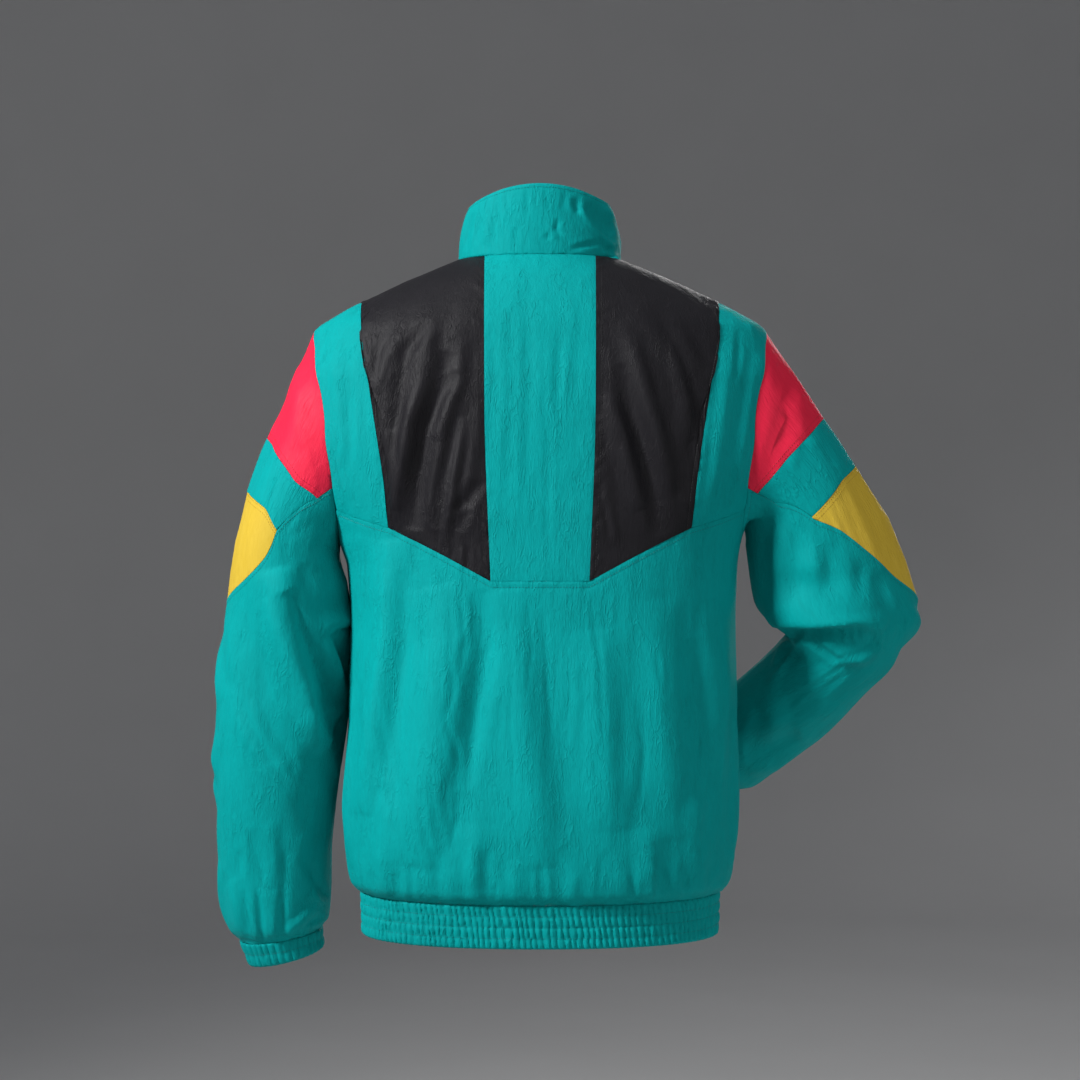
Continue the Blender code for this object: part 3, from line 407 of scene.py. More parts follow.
CREASES["left", "front"] = (
    (2.0, 12, 12, 230, -250, 262, -330),
    (-2.2, 10, 10, 215, -300, 255, -380),
    (2.6, 12, 12, 300, -420, 250, -470),
    (2.4, 12, 10, 300, -520, 245, -590),
    (-1.8, 10, 10, 225, -500, 250, -560),
    (1.9, 7, 7, 285, -620, 280, -670),
    (1.9, 7, 7, 240, -625, 248, -670),
    (-1.7, 5, 5, 262, -630, 264, -672),
    (1.6, 10, 10, 232, -390, 222, -450),
)
CREASES["right", "seen"] = (
    (3.4, 5, 6, 782, 335, 790, 360, 797, 400, 797, 440),
    (-3.4, 5, 5, 783, 350, 787, 385, 785, 420, 772, 445, 765, 470),
    (2.0, 5, 5, 768, 345, 772, 380, 769, 430, 762, 470),
    (1.5, 3, 3, 750, 440, 747, 480),
    (2.6, 2.5, 3, 793, 355, 808, 385, 823, 412),
    (1.2, 2.6, 2.6, 806, 390, 818, 415),
    (1.3, 2.6, 2.6, 774, 330, 782, 350),
    (1.0, 4, 4, 800, 440, 790, 470),
    (-0.8, 4, 4, 812, 420, 800, 446),
    (1.4, 2.6, 2.6, 828, 424, 840, 445, 851, 462),
    (-0.8, 5, 5, 820, 440, 835, 465),
    (2.4, 3, 4, 858, 478, 880, 520, 905, 560, 915, 590),
    (-1.2, 4, 4, 850, 480, 868, 515),
    (0.9, 3, 3, 830, 510, 845, 540),
    (-0.8, 4, 4, 845, 500, 860, 540),
    (-1.0, 4, 4, 872, 530, 892, 566),
    (1.5, 8, 8, 782, 520, 778, 560, 780, 600),
    (-1.5, 5, 5, 765, 530, 768, 580, 775, 608),
    (-1.1, 7, 7, 800, 525, 798, 570),
    (-1.4, 8, 8, 830, 540, 834, 592),
    (1.2, 7, 7, 815, 545, 815, 600),
    (-1.2, 6, 6, 862, 560, 858, 600),
    (-1.4, 8, 8, 880, 570, 884, 618),
    (-1.0, 4, 4, 893, 570, 903, 610, 893, 650),
    (-1.1, 2.6, 2.6, 881, 640, 885, 648),
    (6.4, 20, 6.5, 764, 619, 792, 620.5, 829, 618.5, 857, 617.5, 872, 621, 882, 629),
    (-4.6, 4.5, 8, 778, 628, 800, 627.5, 830, 626, 864, 625.5),
    (-2.7, 2.6, 2.6, 780, 625, 786, 635, 795, 638, 806, 632),
    (2.2, 5, 4, 782, 641, 778, 668, 770, 690),
    (-1.7, 2.6, 2.6, 795, 642, 784, 658, 773, 675),
    (1.5, 4, 2, 800, 642, 786, 662, 775, 680),
    (-3.0, 4, 4, 806, 632, 814, 639, 824, 648, 839, 660),
    (2.6, 3, 3, 800, 635, 812, 632, 822, 638),
    (2.6, 6, 4, 881, 630, 878, 645, 862, 656, 842, 662),
    (0.9, 2.6, 2.6, 818, 626, 818, 637),
    (0.9, 2.6, 2.6, 826, 627, 829, 640),
    (0.9, 2.6, 2.6, 835, 627, 836, 642),
    (0.9, 2.6, 2.6, 844, 626, 845, 642),
    (0.9, 2.6, 2.6, 853, 626, 853, 640),
    (0.9, 2.6, 2.6, 861, 626, 862, 638),
    (-1.3, 2.6, 2.6, 874, 640, 876, 651),
    (-1.0, 2.6, 2.6, 819, 643, 825, 650),
    (-1.0, 2.6, 2.6, 827, 648, 832, 656),
    (-0.9, 2.6, 2.6, 836, 644, 842, 650),
    (0.9, 4, 4, 845, 648, 862, 644),
    (1.0, 3, 3, 800, 690, 830, 668, 850, 655),
    (-1.0, 3, 3, 812, 700, 845, 672),
    (0.9, 3, 3, 822, 716, 852, 690),
    (-0.9, 3, 3, 798, 674, 824, 658),
    (-0.8, 4, 4, 830, 735, 868, 690),
    (0.9, 3, 3, 790, 712, 812, 690),
    (-3.4, 12, 10, 745, 752, 770, 748, 800, 735),
    (1.8, 10, 8, 768, 690, 776, 722, 766, 745),
    (1.2, 4, 4, 748, 770, 775, 765, 800, 748),
)
CREASES["right", "front"] = (
    (2.2, 12, 12, -250, -250, -290, -330),
    (3.2, 10, 14, -330, -330, -260, -372),
    (-2.2, 10, 10, -300, -400, -240, -420),
    (2.2, 10, 10, -270, -420, -215, -480),
    (2.0, 10, 10, -320, -400, -270, -470),
    (-1.8, 8, 8, -345, -345, -300, -380),
    (1.8, 7, 7, -215, -440, -185, -480),
    (1.8, 7, 7, -235, -490, -200, -515),
    (1.8, 10, 10, -250, -300, -232, -350),
)
CREASES["right", "right"] = (
    (1.8, 14, 14, 20, -200, -10, -300),
    (2.8, 8, 12, 30, -350, -40, -372),
    (2.0, 10, 10, -20, -400, -90, -440),
    (-1.8, 9, 9, 0, -380, -60, -430),
    (1.8, 7, 7, -90, -460, -120, -490),
    (-1.6, 10, 10, -50, -300, -30, -350),
)
CREASES["collar", "seen"] = (
    (3.2, 2.6, 2.6, 579, 204, 583, 214, 592, 226, 602, 237, 609, 247, 617, 263),
    (-4.2, 8, 6, 587, 204, 598, 222, 609, 236),
    (-2.4, 4, 3, 573, 199, 578, 213),
    (1.9, 2.6, 2.6, 603, 207, 608, 214, 611, 223),
    (1.9, 2.6, 2.6, 608, 241, 617, 247),
    (1.9, 2.6, 2.6, 602, 251, 610, 256, 618, 262),
    (-1.9, 2.6, 2.6, 605, 247, 614, 256),
    (-1.6, 2.6, 2.6, 569, 251, 578, 247, 592, 244, 600, 243),
    (-1.9, 2.6, 2.6, 558, 219, 556, 230, 560, 236),
    (-1.5, 2.6, 2.6, 548, 233, 547, 240),
    (1.1, 2.6, 2.6, 552, 231, 558, 238),
    (-1.2, 3, 3, 498, 196, 499, 226),
    (-0.8, 2.6, 2.6, 507, 192, 508, 212),
    (-0.9, 2.6, 2.6, 527, 188, 528, 216),
    (-1.0, 3, 3, 515, 228, 517, 249),
    (0.9, 3, 3, 540, 188, 543, 210),
    (1.2, 4, 4, 488, 215, 486, 245),
    (-0.8, 2.6, 2.6, 565, 190, 562, 212),
)
CREASES["collar", "left"] = (
    (2.0, 4, 4, -10, 10, -14, 48),
    (-1.8, 4, 4, 25, 8, 30, 44),
    (1.8, 5, 4, -36, -10, -32, 36),
)
CREASES["collar", "right"] = (
    (2.0, 4, 4, -6, 8, -12, 46),
    (-1.8, 4, 4, -40, -12, -34, 34),
)
CREASES["collar", "front"] = (
    (1.8, 5, 5, 38, -30, 34, 24),
    (2.0, 5, 5, -30, -32, -38, 22),
    (-1.7, 4, 4, -55, -20, -50, 30),
)


# --- surfaces -------------------------------------------------------------------------------------
def rounded(xs, ys, x):
    """Monotone cubic interpolation of a table, which never overshoots it."""
    xs, ys = np.asarray(xs, float), np.asarray(ys, float)
    x = np.clip(x, xs[0], xs[-1])
    steps = np.diff(xs)
    slopes = np.diff(ys) / steps
    i = np.clip(np.searchsorted(xs, x) - 1, 0, len(steps) - 1)
    tangents = cubic_tangents(slopes)
    bends = tangents[i] * steps[i], tangents[i + 1] * steps[i]
    return cubic(ys[i], ys[i + 1], *bends, (x - xs[i]) / steps[i])


def cubic_tangents(slopes):
    both = slopes[:-1] * slopes[1:]
    total = np.where(both > 0, slopes[:-1] + slopes[1:], 1)
    inner = np.where(both > 0, 2 * both / total, 0)
    return np.concatenate([slopes[:1], inner, slopes[-1:]])


def cubic(start, end, bend_in, bend_out, t):
    rise = end - start
    return (
        start
        + t * bend_in
        + t * t * (3 * rise - 2 * bend_in - bend_out)
        + t**3 * (bend_in + bend_out - 2 * rise)
    )


class Profile:
    def __init__(self, columns, rows):
        self.columns = columns
        self.table = np.array(sorted(rows), float)

    def at(self, where, column):
        return rounded(self.table[:, 0], self.table[:, self.columns.index(column)], where)


BODY = Profile(BODY_COLUMNS, BODY_ROWS)
COLLAR = Profile(COLLAR_COLUMNS, COLLAR_ROWS)


def smooth(t):
    t = np.clip(t, 0, 1)
    return t * t * (3 - 2 * t)


def unit(vectors):
    return vectors / np.maximum(np.linalg.norm(vectors, axis=-1, keepdims=True), 1e-9)


def run_along(points):
    """The length of a line from its first point to each of its points."""
    return np.concatenate([[0], np.cumsum(np.linalg.norm(np.diff(points, axis=0), axis=1))])


def on_grid(surface, grid):
    return surface(grid[..., 0], grid[..., 1])


def signed_power(value, power):
    return np.sign(value) * np.abs(value) ** power


def body(angle, level):
    angle, level = np.broadcast_arrays(np.asarray(angle, float), np.asarray(level, float))
    turn = np.radians(angle)
    power = 2 / BODY.at(level, "squareness")
    ahead = np.cos(turn)
    depth = np.where(ahead > 0, BODY.at(level, "front"), BODY.at(level, "back"))
    start = math.cos(math.radians(SHOULDER_SEAM_START))
    fade = smooth(1 - np.minimum(1, level / NECK_DROP_ENDS))
    drop = NECK_DROP * (np.maximum(0, ahead - start) / (1 - start)) ** 1.5 * fade
    drawn_in = BODY.at(level, "left_in") * np.maximum(0, np.sin(turn)) ** 2
    x = (BODY.at(level, "half_width") - drawn_in) * signed_power(np.sin(turn), power)
    return np.stack([x, -depth * signed_power(ahead, power), level - drop], -1)


def angle_at(x, level, front=False):
    share = np.minimum(1, np.abs(x) / BODY.at(level, "half_width"))
    turn = np.degrees(np.arcsin(share ** (BODY.at(level, "squareness") / 2)))
    return turn if front else 180 - turn


def collar(angle, height):
    angle, height = np.broadcast_arrays(np.asarray(angle, float), np.asarray(height, float))
    turn = np.radians(angle)
    ahead = np.cos(turn)
    end_top = np.where(ahead > 0, COLLAR_TOP["front"], COLLAR_TOP["back"])
    top = COLLAR_TOP["side"] + (end_top - COLLAR_TOP["side"]) * ahead * ahead
    foot = body(angle, 0)[..., 2]
    depth = np.where(ahead > 0, COLLAR.at(height, "front"), COLLAR.at(height, "back"))
    x = COLLAR.at(height, "half_width") * np.sin(turn)
    return np.stack([x, -depth * ahead, foot + (top - foot) * height], -1)


def armhole(turn, side):
    turn = np.asarray(turn, float)
    bulge = ARMHOLE_BULGE * np.sin(np.radians(turn))
    return side * (90 + bulge), ARMHOLE_MIDDLE + ARMHOLE_HALF * np.cos(np.radians(turn))


class Sleeve:
    def __init__(self, name):
        self.side = 1 if name == "left" else -1
        rows = np.array(SLEEVE_SECTIONS[name], float)
        centres = np.vstack([body(90, ARMHOLE_MIDDLE), rows[:, :3]])
        centres[:, 0] *= self.side
        self.rings = []
        for i, (_, _, _, lean, half_width, half_depth) in enumerate(rows):
            lean = math.radians(lean)
            outward = np.array((self.side * math.cos(lean), 0, math.sin(lean)))
            run = centres[min(i + 2, len(rows))] - centres[i]
            across = np.cross(run, outward)
            across *= math.copysign(1, across[1]) / np.linalg.norm(across)
            self.rings.append((centres[i + 1], outward * half_width, across * half_depth))
        self.lengths = run_along(centres)
        self.last = len(rows)

    def __call__(self, row, turn):
        row, turn = np.broadcast_arrays(np.asarray(row, float), np.asarray(turn, float))
        shape, row, turn = row.shape, row.ravel(), turn.ravel()
        bent = np.radians(turn)[:, None]
        points = [body(*armhole(turn, self.side))]
        points += [c + u * np.cos(bent) + w * np.sin(bent) for c, u, w in self.rings]
        points = np.array(points)
        tangents = cubic_tangents(np.diff(points, axis=0))
        i = np.clip(np.ceil(row).astype(int) - 1, 0, self.last - 1)
        k = np.arange(len(row))
        made = cubic(
            points[i, k], points[i + 1, k], tangents[i, k], tangents[i + 1, k], (row - i)[:, None]
        )
        return made.reshape(shape + (3,))

    def ring_normal(self, row, turn):
        bent = np.radians(turn)[..., None]
        _, wide, deep = self.rings[row - 1]
        return unit(wide / (wide @ wide) * np.cos(bent) + deep / (deep @ deep) * np.sin(bent))


SLEEVES = {"left": Sleeve("left"), "right": Sleeve("right")}


def normal_of(surface, p, q, low, high, step=0.01):
    along = surface(p + step, q) - surface(p - step, q)
    up = surface(p, np.minimum(q + step, high)) - surface(p, np.maximum(q - step, low))
    return unit(np.cross(along, up))


def body_normal(angle, level):
    return normal_of(body, np.asarray(angle, float), np.asarray(level, float), HEM, 0)


def collar_normal(angle, height):
    return normal_of(collar, np.asarray(angle, float), np.asarray(height, float), 0, 1)


def sleeve_normal(sleeve, row, turn, step=0.03):
    row, turn = np.asarray(row, float), np.asarray(turn, float)
    ahead, behind = np.minimum(row + step, sleeve.last), np.maximum(row - step, 0)
    along = sleeve(ahead, turn) - sleeve(behind, turn)
    round_it = sleeve(row, turn + 0.5) - sleeve(row, turn - 0.5)
    return unit(sleeve.side * np.cross(along, round_it))


MITRE_LIMIT = 0.7  # a mitre is stretched by no more than one over this


def mitre(first, second):
    both = unit(first + second)
    return both / np.maximum(MITRE_LIMIT, (both * first).sum(-1, keepdims=True))


def neck_mitre(angle):
    return mitre(body_normal(angle, 0.0), collar_normal(angle, 0.0))


def waist_normal(angle):
    out = body_normal(angle, WAIST_SEAM)
    out[..., 2] = 0
    return unit(out)


FAR = 1e3
SEAM_LOOKUP = 60  # beyond this distance a point counts as far from an armhole
LOOKUP_BATCH = 20000
BY_THE_SEAM = 0.05  # the sleeve's row where its direction beside the armhole is taken
ARMHOLE_SAMPLES = np.arange(0, 360, 2.0)
ARMHOLES = {}
for arm, sleeve_made in SLEEVES.items():
    seam_places = armhole(ARMHOLE_SAMPLES, sleeve_made.side)
    sleeve_out = sleeve_normal(sleeve_made, BY_THE_SEAM, ARMHOLE_SAMPLES)
    ARMHOLES[arm] = (body(*seam_places), mitre(body_normal(*seam_places), sleeve_out))


def near_armhole(points, arm):
    """The distance of each point from an armhole seam, and the seam's direction there."""
    seam, out = ARMHOLES[arm]
    flat = points.reshape(-1, 3)
    distance = np.full(len(flat), FAR)
    nearest = np.zeros(len(flat), int)
    low, high = seam.min(0) - SEAM_LOOKUP, seam.max(0) + SEAM_LOOKUP
    near = np.nonzero(((flat > low) & (flat < high)).all(1))[0]
    for part in np.array_split(near, max(1, len(near) // LOOKUP_BATCH)):
        if len(part):
            away = np.linalg.norm(flat[part, None] - seam[None], axis=2)
            nearest[part] = away.argmin(1)
            distance[part] = away.min(1)
    return distance.reshape(points.shape[:-1]), out[nearest].reshape(points.shape)


# --- noise and creases ----------------------------------------------------------------------------
# Whole numbers that scatter the places of a lattice into even chances.
SCATTER = np.array((374761393, 668265263, 1274126177))
SCATTER_SEED = 97531
SCATTER_AGAIN = 1103515245


def noise(points, seed=0):
    """Smooth noise between -1 and 1 on a unit lattice, the same on each run."""
    cell = np.floor(points).astype(np.int64)
    part = smooth(points - cell)
    total = np.zeros(points.shape[:-1])
    for corner in itertools.product((0, 1), repeat=3):
        mixed = (cell + corner) @ SCATTER + seed * SCATTER_SEED
        mixed = (mixed ^ (mixed >> 13)) * SCATTER_AGAIN
        mixed = (mixed ^ (mixed >> 16)) & 0xFFFF
        weight = np.prod(np.where(corner, part, 1 - part), axis=-1)
        total += weight * (mixed / 32767.5 - 1)
    return total


def noise_line(x, seed=0):
    return noise(np.stack([x, np.full_like(x, 0.37), np.full_like(x, 0.71)], -1), seed)


def seen(points):
    """Where the photograph shows a point, in its own pixels."""
    depth = CAMERA_PLACE[1] - points[..., 1]
    scale = CAMERA_PLACE[1] / depth
    px = FRAME_PIXELS / 2 - points[..., 0] * scale
    py = FRAME_PIXELS / 2 - (points[..., 2] - CAMERA_PLACE[2]) * scale
    return np.stack([px, py], -1)


def on_side(points, view):
    if view == "seen":
        return seen(points)
    if view == "front":
        return points[..., [0, 2]]
    return points[..., [1, 2]]


SIDE_FACING = {"seen": (0, 1, 0), "front": (0, -1, 0), "left": (1, 0, 0), "right": (-1, 0, 0)}


FOLD_ENDS = 0.25  # the share of its height that a main fold keeps at its ends


def main_folds(points):
    """The solids' own folds, for the shells to follow."""
    raised = np.zeros(points.shape[:-1])
    for start, end, height, half_width in MAIN_FOLDS + (MEETING_FOLD,):
        start, line = np.array(start, float), np.subtract(end, start).astype(float)
        share = np.clip((points - start) @ line / (line @ line), 0, 1)
        away = np.linalg.norm(points - start - share[..., None] * line, axis=-1) / half_width
        ends = np.minimum(1, 4 * share * (1 - share) + FOLD_ENDS)
        raised = np.maximum(raised, height * ends * np.exp(-away * away))
    return raised


CREASE_REACH = 3.2  # half widths from its line to where a crease is left out
CREASE_TAPER = 0.6
BESIDE_DEPTH, BESIDE_PLACE, BESIDE_WIDTH = 0.3, 1.9, 0.7  # the shallow trough beside a crease
FACING_FROM, FACING_RUN = 0.02, 0.3  # how squarely cloth faces a view when its creases begin


def nearest_on(line, at):
    """Of each place: its distance from a line, its side of it, and the share of the way there."""
    steps = np.diff(line, axis=0)
    lengths = np.linalg.norm(steps, axis=1)
    best, side, share = np.full(len(at), 1e9), np.zeros(len(at)), np.zeros(len(at))
    before = 0.0
    for start, step, length in zip(line[:-1], steps, lengths):
        t = np.clip((at - start) @ step / (length * length), 0, 1)
        offset = at - start - t[:, None] * step
        away = np.linalg.norm(offset, axis=1)
        nearer = away < best
        best = np.where(nearer, away, best)
        side = np.where(nearer, step[0] * offset[:, 1] - step[1] * offset[:, 0], side)
        share = np.where(nearer, (before + t * length) / lengths.sum(), share)
        before += length
    return best, side, share


def creases(group, points, normals):
    """The relief of the listed creases that lie on this group of cloth."""
    total = np.zeros(points.shape[:-1])
    facing, flat = {}, {}
    for view, direction in SIDE_FACING.items():
        facing[view] = smooth((normals @ np.array(direction, float) - FACING_FROM) / FACING_RUN)
        flat[view] = on_side(points, view)
    tables = [(view, table) for (name, view), table in CREASES.items() if name == group]
    rows = [(view, row) for view, table in tables for row in table]
    for view, (height, left, right, *line) in rows:
        places, weight = flat[view], facing[view]
        line = np.array(line, float).reshape(-1, 2)
        reach = CREASE_REACH * max(left, right)
        inside = ((places > line.min(0) - reach) & (places < line.max(0) + reach)).all(-1)
        inside &= weight > 0
        if not inside.any():
            continue
        best, side, share = nearest_on(line, places[inside])
        x = best / np.where(side > 0, right, left)
        taper = np.clip(4 * share * (1 - share), 0, 1) ** CREASE_TAPER
        shape = np.exp(-x * x) - BESIDE_DEPTH * np.exp(-(((x - BESIDE_PLACE) / BESIDE_WIDTH) ** 2))
        depth = np.interp(left + right, *CREASE_DEPTH)
        total[inside] += depth * height * taper * shape * weight[inside]
    return total


CRINKLES = (
    # size across, size along, height
    (34.0, 120.0, 0.55),
    (15.0, 60.0, 0.38),
    (7.5, 26.0, 0.20),
)
WARP_SIZE = 2.5  # of a crumple's length
WARP = (0.9, 0.9, 0)
RIDGE = 1.6


def crinkle(cloth, strength, seed):
    """Long soft crumples of the light cloth, sharper on their ridges."""
    total = np.zeros(cloth.shape[:-1])
    for k, (across, along, height) in enumerate(CRINKLES):
        warp = noise(cloth / (WARP_SIZE * along), seed + 50 + k)[..., None] * np.array(WARP)
        places = cloth / np.array((across, across, along)) + warp
        total += height * (0.5 - np.abs(noise(places, seed + k)) * RIDGE)
    return total * strength


# --- grids and shells -----------------------------------------------------------------------------
def evenly(surface, line, count):
    """Places along a dense line of surface coordinates, evenly by their length in space."""
    line = np.asarray(line, float)
    run = run_along(on_grid(surface, line))
    at = np.linspace(0, run[-1], count + 1)
    return np.stack([np.interp(at, run, line[:, 0]), np.interp(at, run, line[:, 1])], -1)


def line_length(surface, line):
    return run_along(on_grid(surface, line))[-1]


def dense(*corners, count=60):
    """A straight line in surface coordinates through some corners."""
    parts = [np.linspace(a, b, count, endpoint=False) for a, b in zip(corners[:-1], corners[1:])]
    return np.vstack(parts + [np.array(corners[-1:], float)])


def patch(surface, top, bottom, left, right, cell, fade=1):
    """A grid of surface coordinates stretched between four dense edges."""
    columns = max(3, round(max(line_length(surface, top), line_length(surface, bottom)) / cell))
    rows = max(3, round(max(line_length(surface, left), line_length(surface, right)) / cell))
    top, bottom = evenly(surface, top, columns), evenly(surface, bottom, columns)
    left, right = evenly(surface, left, rows), evenly(surface, right, rows)
    u = np.linspace(0, 1, columns + 1)[None, :, None]
    v = np.linspace(0, 1, rows + 1)[:, None, None]
    across = (1 - u) * left[:, None] + u * right[:, None]
    top_bend = top[None] - (1 - u) * top[0] - u * top[-1]
    bottom_bend = bottom[None] - (1 - u) * bottom[0] - u * bottom[-1]
    return across + (1 - v) ** fade * top_bend + v * bottom_bend


def border_distances(points, closed=False):
    """How far each point of a grid lies from each of the grid's four borders, along the grid."""
    rows = np.linalg.norm(np.diff(points, axis=0), axis=-1)
    down = np.vstack([np.zeros((1, points.shape[1])), np.cumsum(rows, axis=0)])
    steps = np.linalg.norm(np.diff(points, axis=1), axis=-1)
    over = np.hstack([np.zeros((points.shape[0], 1)), np.cumsum(steps, axis=1)])
    found = {"top": down, "bottom": down[-1:] - down, "left": over, "right": over[:, -1:] - over}
    if closed:
        found["left"] = found["right"] = np.full_like(down, FAR)
    return found, over, down


def inset(points, normals, closed, gap):
    """Pulls the borders of a grid in by half the seam gap."""
    moved = points.copy()
    out = unit(normals)

    def pull(edge, inner, normal, tangent):
        across = np.cross(tangent, normal)
        sign = np.sign((across * (inner - edge)).sum(-1, keepdims=True))
        return edge + unit(across) * sign * gap / 2

    def tangents(line, ring):
        if ring:
            return np.roll(line, -1, 0) - np.roll(line, 1, 0)
        return np.gradient(line, axis=0)

    for end, inner in ((0, 1), (-1, -2)):
        moved[end] = pull(points[end], points[inner], out[end], tangents(points[end], closed))
    if not closed:
        for end, inner in ((0, 1), (-1, -2)):
            along = tangents(points[:, end], False)
            moved[:, end] = pull(moved[:, end], points[:, inner], out[:, end], along)
    return moved


def place_object(name, data):
    made = bpy.data.objects.new(name, data)
    bpy.context.scene.collection.objects.link(made)
    return made


def make_mesh(name, verts, faces, looks, smooth_angle=60):
    mesh = bpy.data.meshes.new(name)
    mesh.from_pydata((np.asarray(verts) * MM).tolist(), [], np.asarray(faces).tolist())
    mesh.shade_smooth()
    mesh.set_sharp_from_angle(angle=math.radians(smooth_angle))
    mesh.materials.append(looks)
    return place_object(name, mesh)


def shell_faces(rows, columns, closed):
    index = np.arange(rows * columns).reshape(rows, columns)
    left = index if closed else index[:, :-1]
    right = np.roll(index, -1, 1) if closed else index[:, 1:]
    outer = np.stack([left[:-1], right[:-1], right[1:], left[1:]], -1).reshape(-1, 4)
    under = rows * columns

    def edge(a, b):
        return np.stack([a, b, b + under, a + under], -1)

    faces = [outer, outer[:, ::-1] + under, edge(right[0], left[0]), edge(left[-1], right[-1])]
    if not closed:
        first, last = index[:, 0], index[:, -1]
        faces += [edge(first[:-1], first[1:]), edge(last[1:], last[:-1])]
    return np.vstack(faces)


def volume_sign(verts, faces):
    a, b, c, d = (verts[faces[:, k]] for k in range(4))
    total = (a * np.cross(b, c)).sum() + (a * np.cross(c, d)).sum()
    return 1 if total > 0 else -1


def cloth_shell(name, outer, inner, cloth, looks, closed=False):
    """A closed thin shell of two like grids, with the cloth's own coordinates on it in metres."""
    rows, columns = outer.shape[:2]
    verts = np.vstack([outer.reshape(-1, 3), inner.reshape(-1, 3)])
    faces = shell_faces(rows, columns, closed)
    if volume_sign(verts, faces) < 0:
        faces = faces[:, ::-1]
    made = make_mesh(name, verts, faces, looks)
    both = np.vstack([cloth.reshape(-1, 3)] * 2) * MM
    layer = made.data.attributes.new("cloth", "FLOAT_VECTOR", "POINT")
    layer.data.foreach_set("vector", both.astype(np.float32).ravel())
    return made


# --- stitching ------------------------------------------------------------------------------------
STITCH_PITCH = 3.0
STITCH_LENGTH = 2.2
STITCH_HALF = 0.27
STITCH_LIFT = 0.1
BAND_STITCH_LIFT = 0.15
STITCH_FORM = (  # the corners of a stitch: along, out of and across the cloth
    (-1, -0.6, 0), (-0.6, 0, 1), (-0.6, 1, 0), (-0.6, 0, -1),
    (0.6, 0, 1), (0.6, 1, 0), (0.6, 0, -1), (1, -0.6, 0),
)
STITCH_FACES = (
    (0, 1, 2), (0, 2, 3), (0, 3, 1), (1, 4, 5), (1, 5, 2), (2, 5, 6),
    (2, 6, 3), (3, 6, 4), (3, 4, 1), (7, 5, 4), (7, 6, 5), (7, 4, 6),
)
threads = {}


def resample(line, *others, pitch):
    run = run_along(line)
    at = np.linspace(0, run[-1], max(2, int(run[-1] / pitch)) + 1)
    tables = (line,) + others
    return [np.stack([np.interp(at, run, table[:, k]) for k in range(3)], -1) for table in tables]


def ringed(*lines):
    """Lines with their first point again at their end."""
    return [np.vstack([line, line[:1]]) for line in lines]


def stitch(thread, line, normals):
    """Adds a row of stitches along a line that lies on the cloth."""
    places, out = resample(line, normals, pitch=STITCH_PITCH)
    middle = (places[1:] + places[:-1]) / 2
    along = unit(places[1:] - places[:-1]) * STITCH_LENGTH / 2
    out = unit(out[1:] + out[:-1]) * STITCH_HALF
    across = unit(np.cross(along, out)) * STITCH_HALF
    verts = [middle + along * a + out * b + across * c for a, b, c in STITCH_FORM]
    threads.setdefault(thread, []).append(np.stack(verts, 1))


def make_threads():
    for thread, parts in threads.items():
        verts = np.concatenate(parts)
        faces = np.array(STITCH_FACES)[None] + 8 * np.arange(len(verts))[:, None, None]
        verts, faces = verts.reshape(-1, 3), faces.reshape(-1, 3)
        made = make_mesh(f"stitches_{thread}", verts, faces, THREADS[thread])
        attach(made, "garment")


def line_inside(outer, normals, distances, edge, inset_by):
    """The line on the cloth that runs a given distance inside one border, with its normals."""
    away = distances[edge]
    if edge in ("left", "right"):
        outer, normals, away = (np.swapaxes(a, 0, 1) for a in (outer, normals, away))
    if edge in ("bottom", "right"):
        outer, normals, away = outer[::-1], normals[::-1], away[::-1]
    k = np.clip((away < inset_by).sum(0), 1, len(away) - 1)
    i = np.arange(away.shape[1])
    share = ((inset_by - away[k - 1, i]) / np.maximum(away[k, i] - away[k - 1, i], 1e-6))[:, None]
    line = outer[k - 1, i] * (1 - share) + outer[k, i] * share
    return line, unit(normals[k, i])


# --- materials ------------------------------------------------------------------------------------
def srgb(red, green, blue):
    """A linear colour from 0-255 values as they are seen."""
    parts = [v / 255 for v in (red, green, blue)]
    parts = [v / 12.92 if v <= 0.04045 else ((v + 0.055) / 1.055) ** 2.4 for v in parts]
    return (*parts, 1.0)


class Nodes:
    """A small helper that adds and links shader nodes."""

    def __init__(self, name, **values):
        self.material = bpy.data.materials.new(name)
        self.material.use_nodes = True
        self.tree = self.material.node_tree
        self.shader = self.tree.nodes["Principled BSDF"]
        for socket, value in values.items():
            self.shader.inputs[socket.replace("_", " ")].default_value = value

    def add(self, kind, inputs=None, **settings):
        node = self.tree.nodes.new(kind)
        for key, value in settings.items():
            setattr(node, key, value)
        for socket, value in (inputs or {}).items():
            if isinstance(value, bpy.types.NodeSocket):
                self.tree.links.new(value, node.inputs[socket])
            else:
                node.inputs[socket].default_value = value
        return node

    def link(self, source, socket):
        self.tree.links.new(source, self.shader.inputs[socket])

    def math(self, operation, a, b=0.0):
        return self.add("ShaderNodeMath", {0: a, 1: b}, operation=operation).outputs[0]

    def mix(self, share, a, b):
        return self.add("ShaderNodeMix", {0: share, 6: a, 7: b}, data_type="RGBA").outputs[2]

    def bump(self, height, strength, distance):
        sockets = {"Height": height, "Strength": strength, "Distance": distance}
        self.link(self.add("ShaderNodeBump", sockets).outputs[0], "Normal")

    def ramp(self, value, low, high):
        node = self.add("ShaderNodeMapRange", {"Value": value, "From Min": low, "From Max": high})
        return node.outputs[0]


def stretched(nodes, source, scale):
    """Cloth coordinates scaled so that one unit is the given size, in millimetres."""
    sizes = tuple(1000.0 / s for s in scale)
    return nodes.add("ShaderNodeMapping", {"Vector": source, "Scale": sizes}).outputs[0]


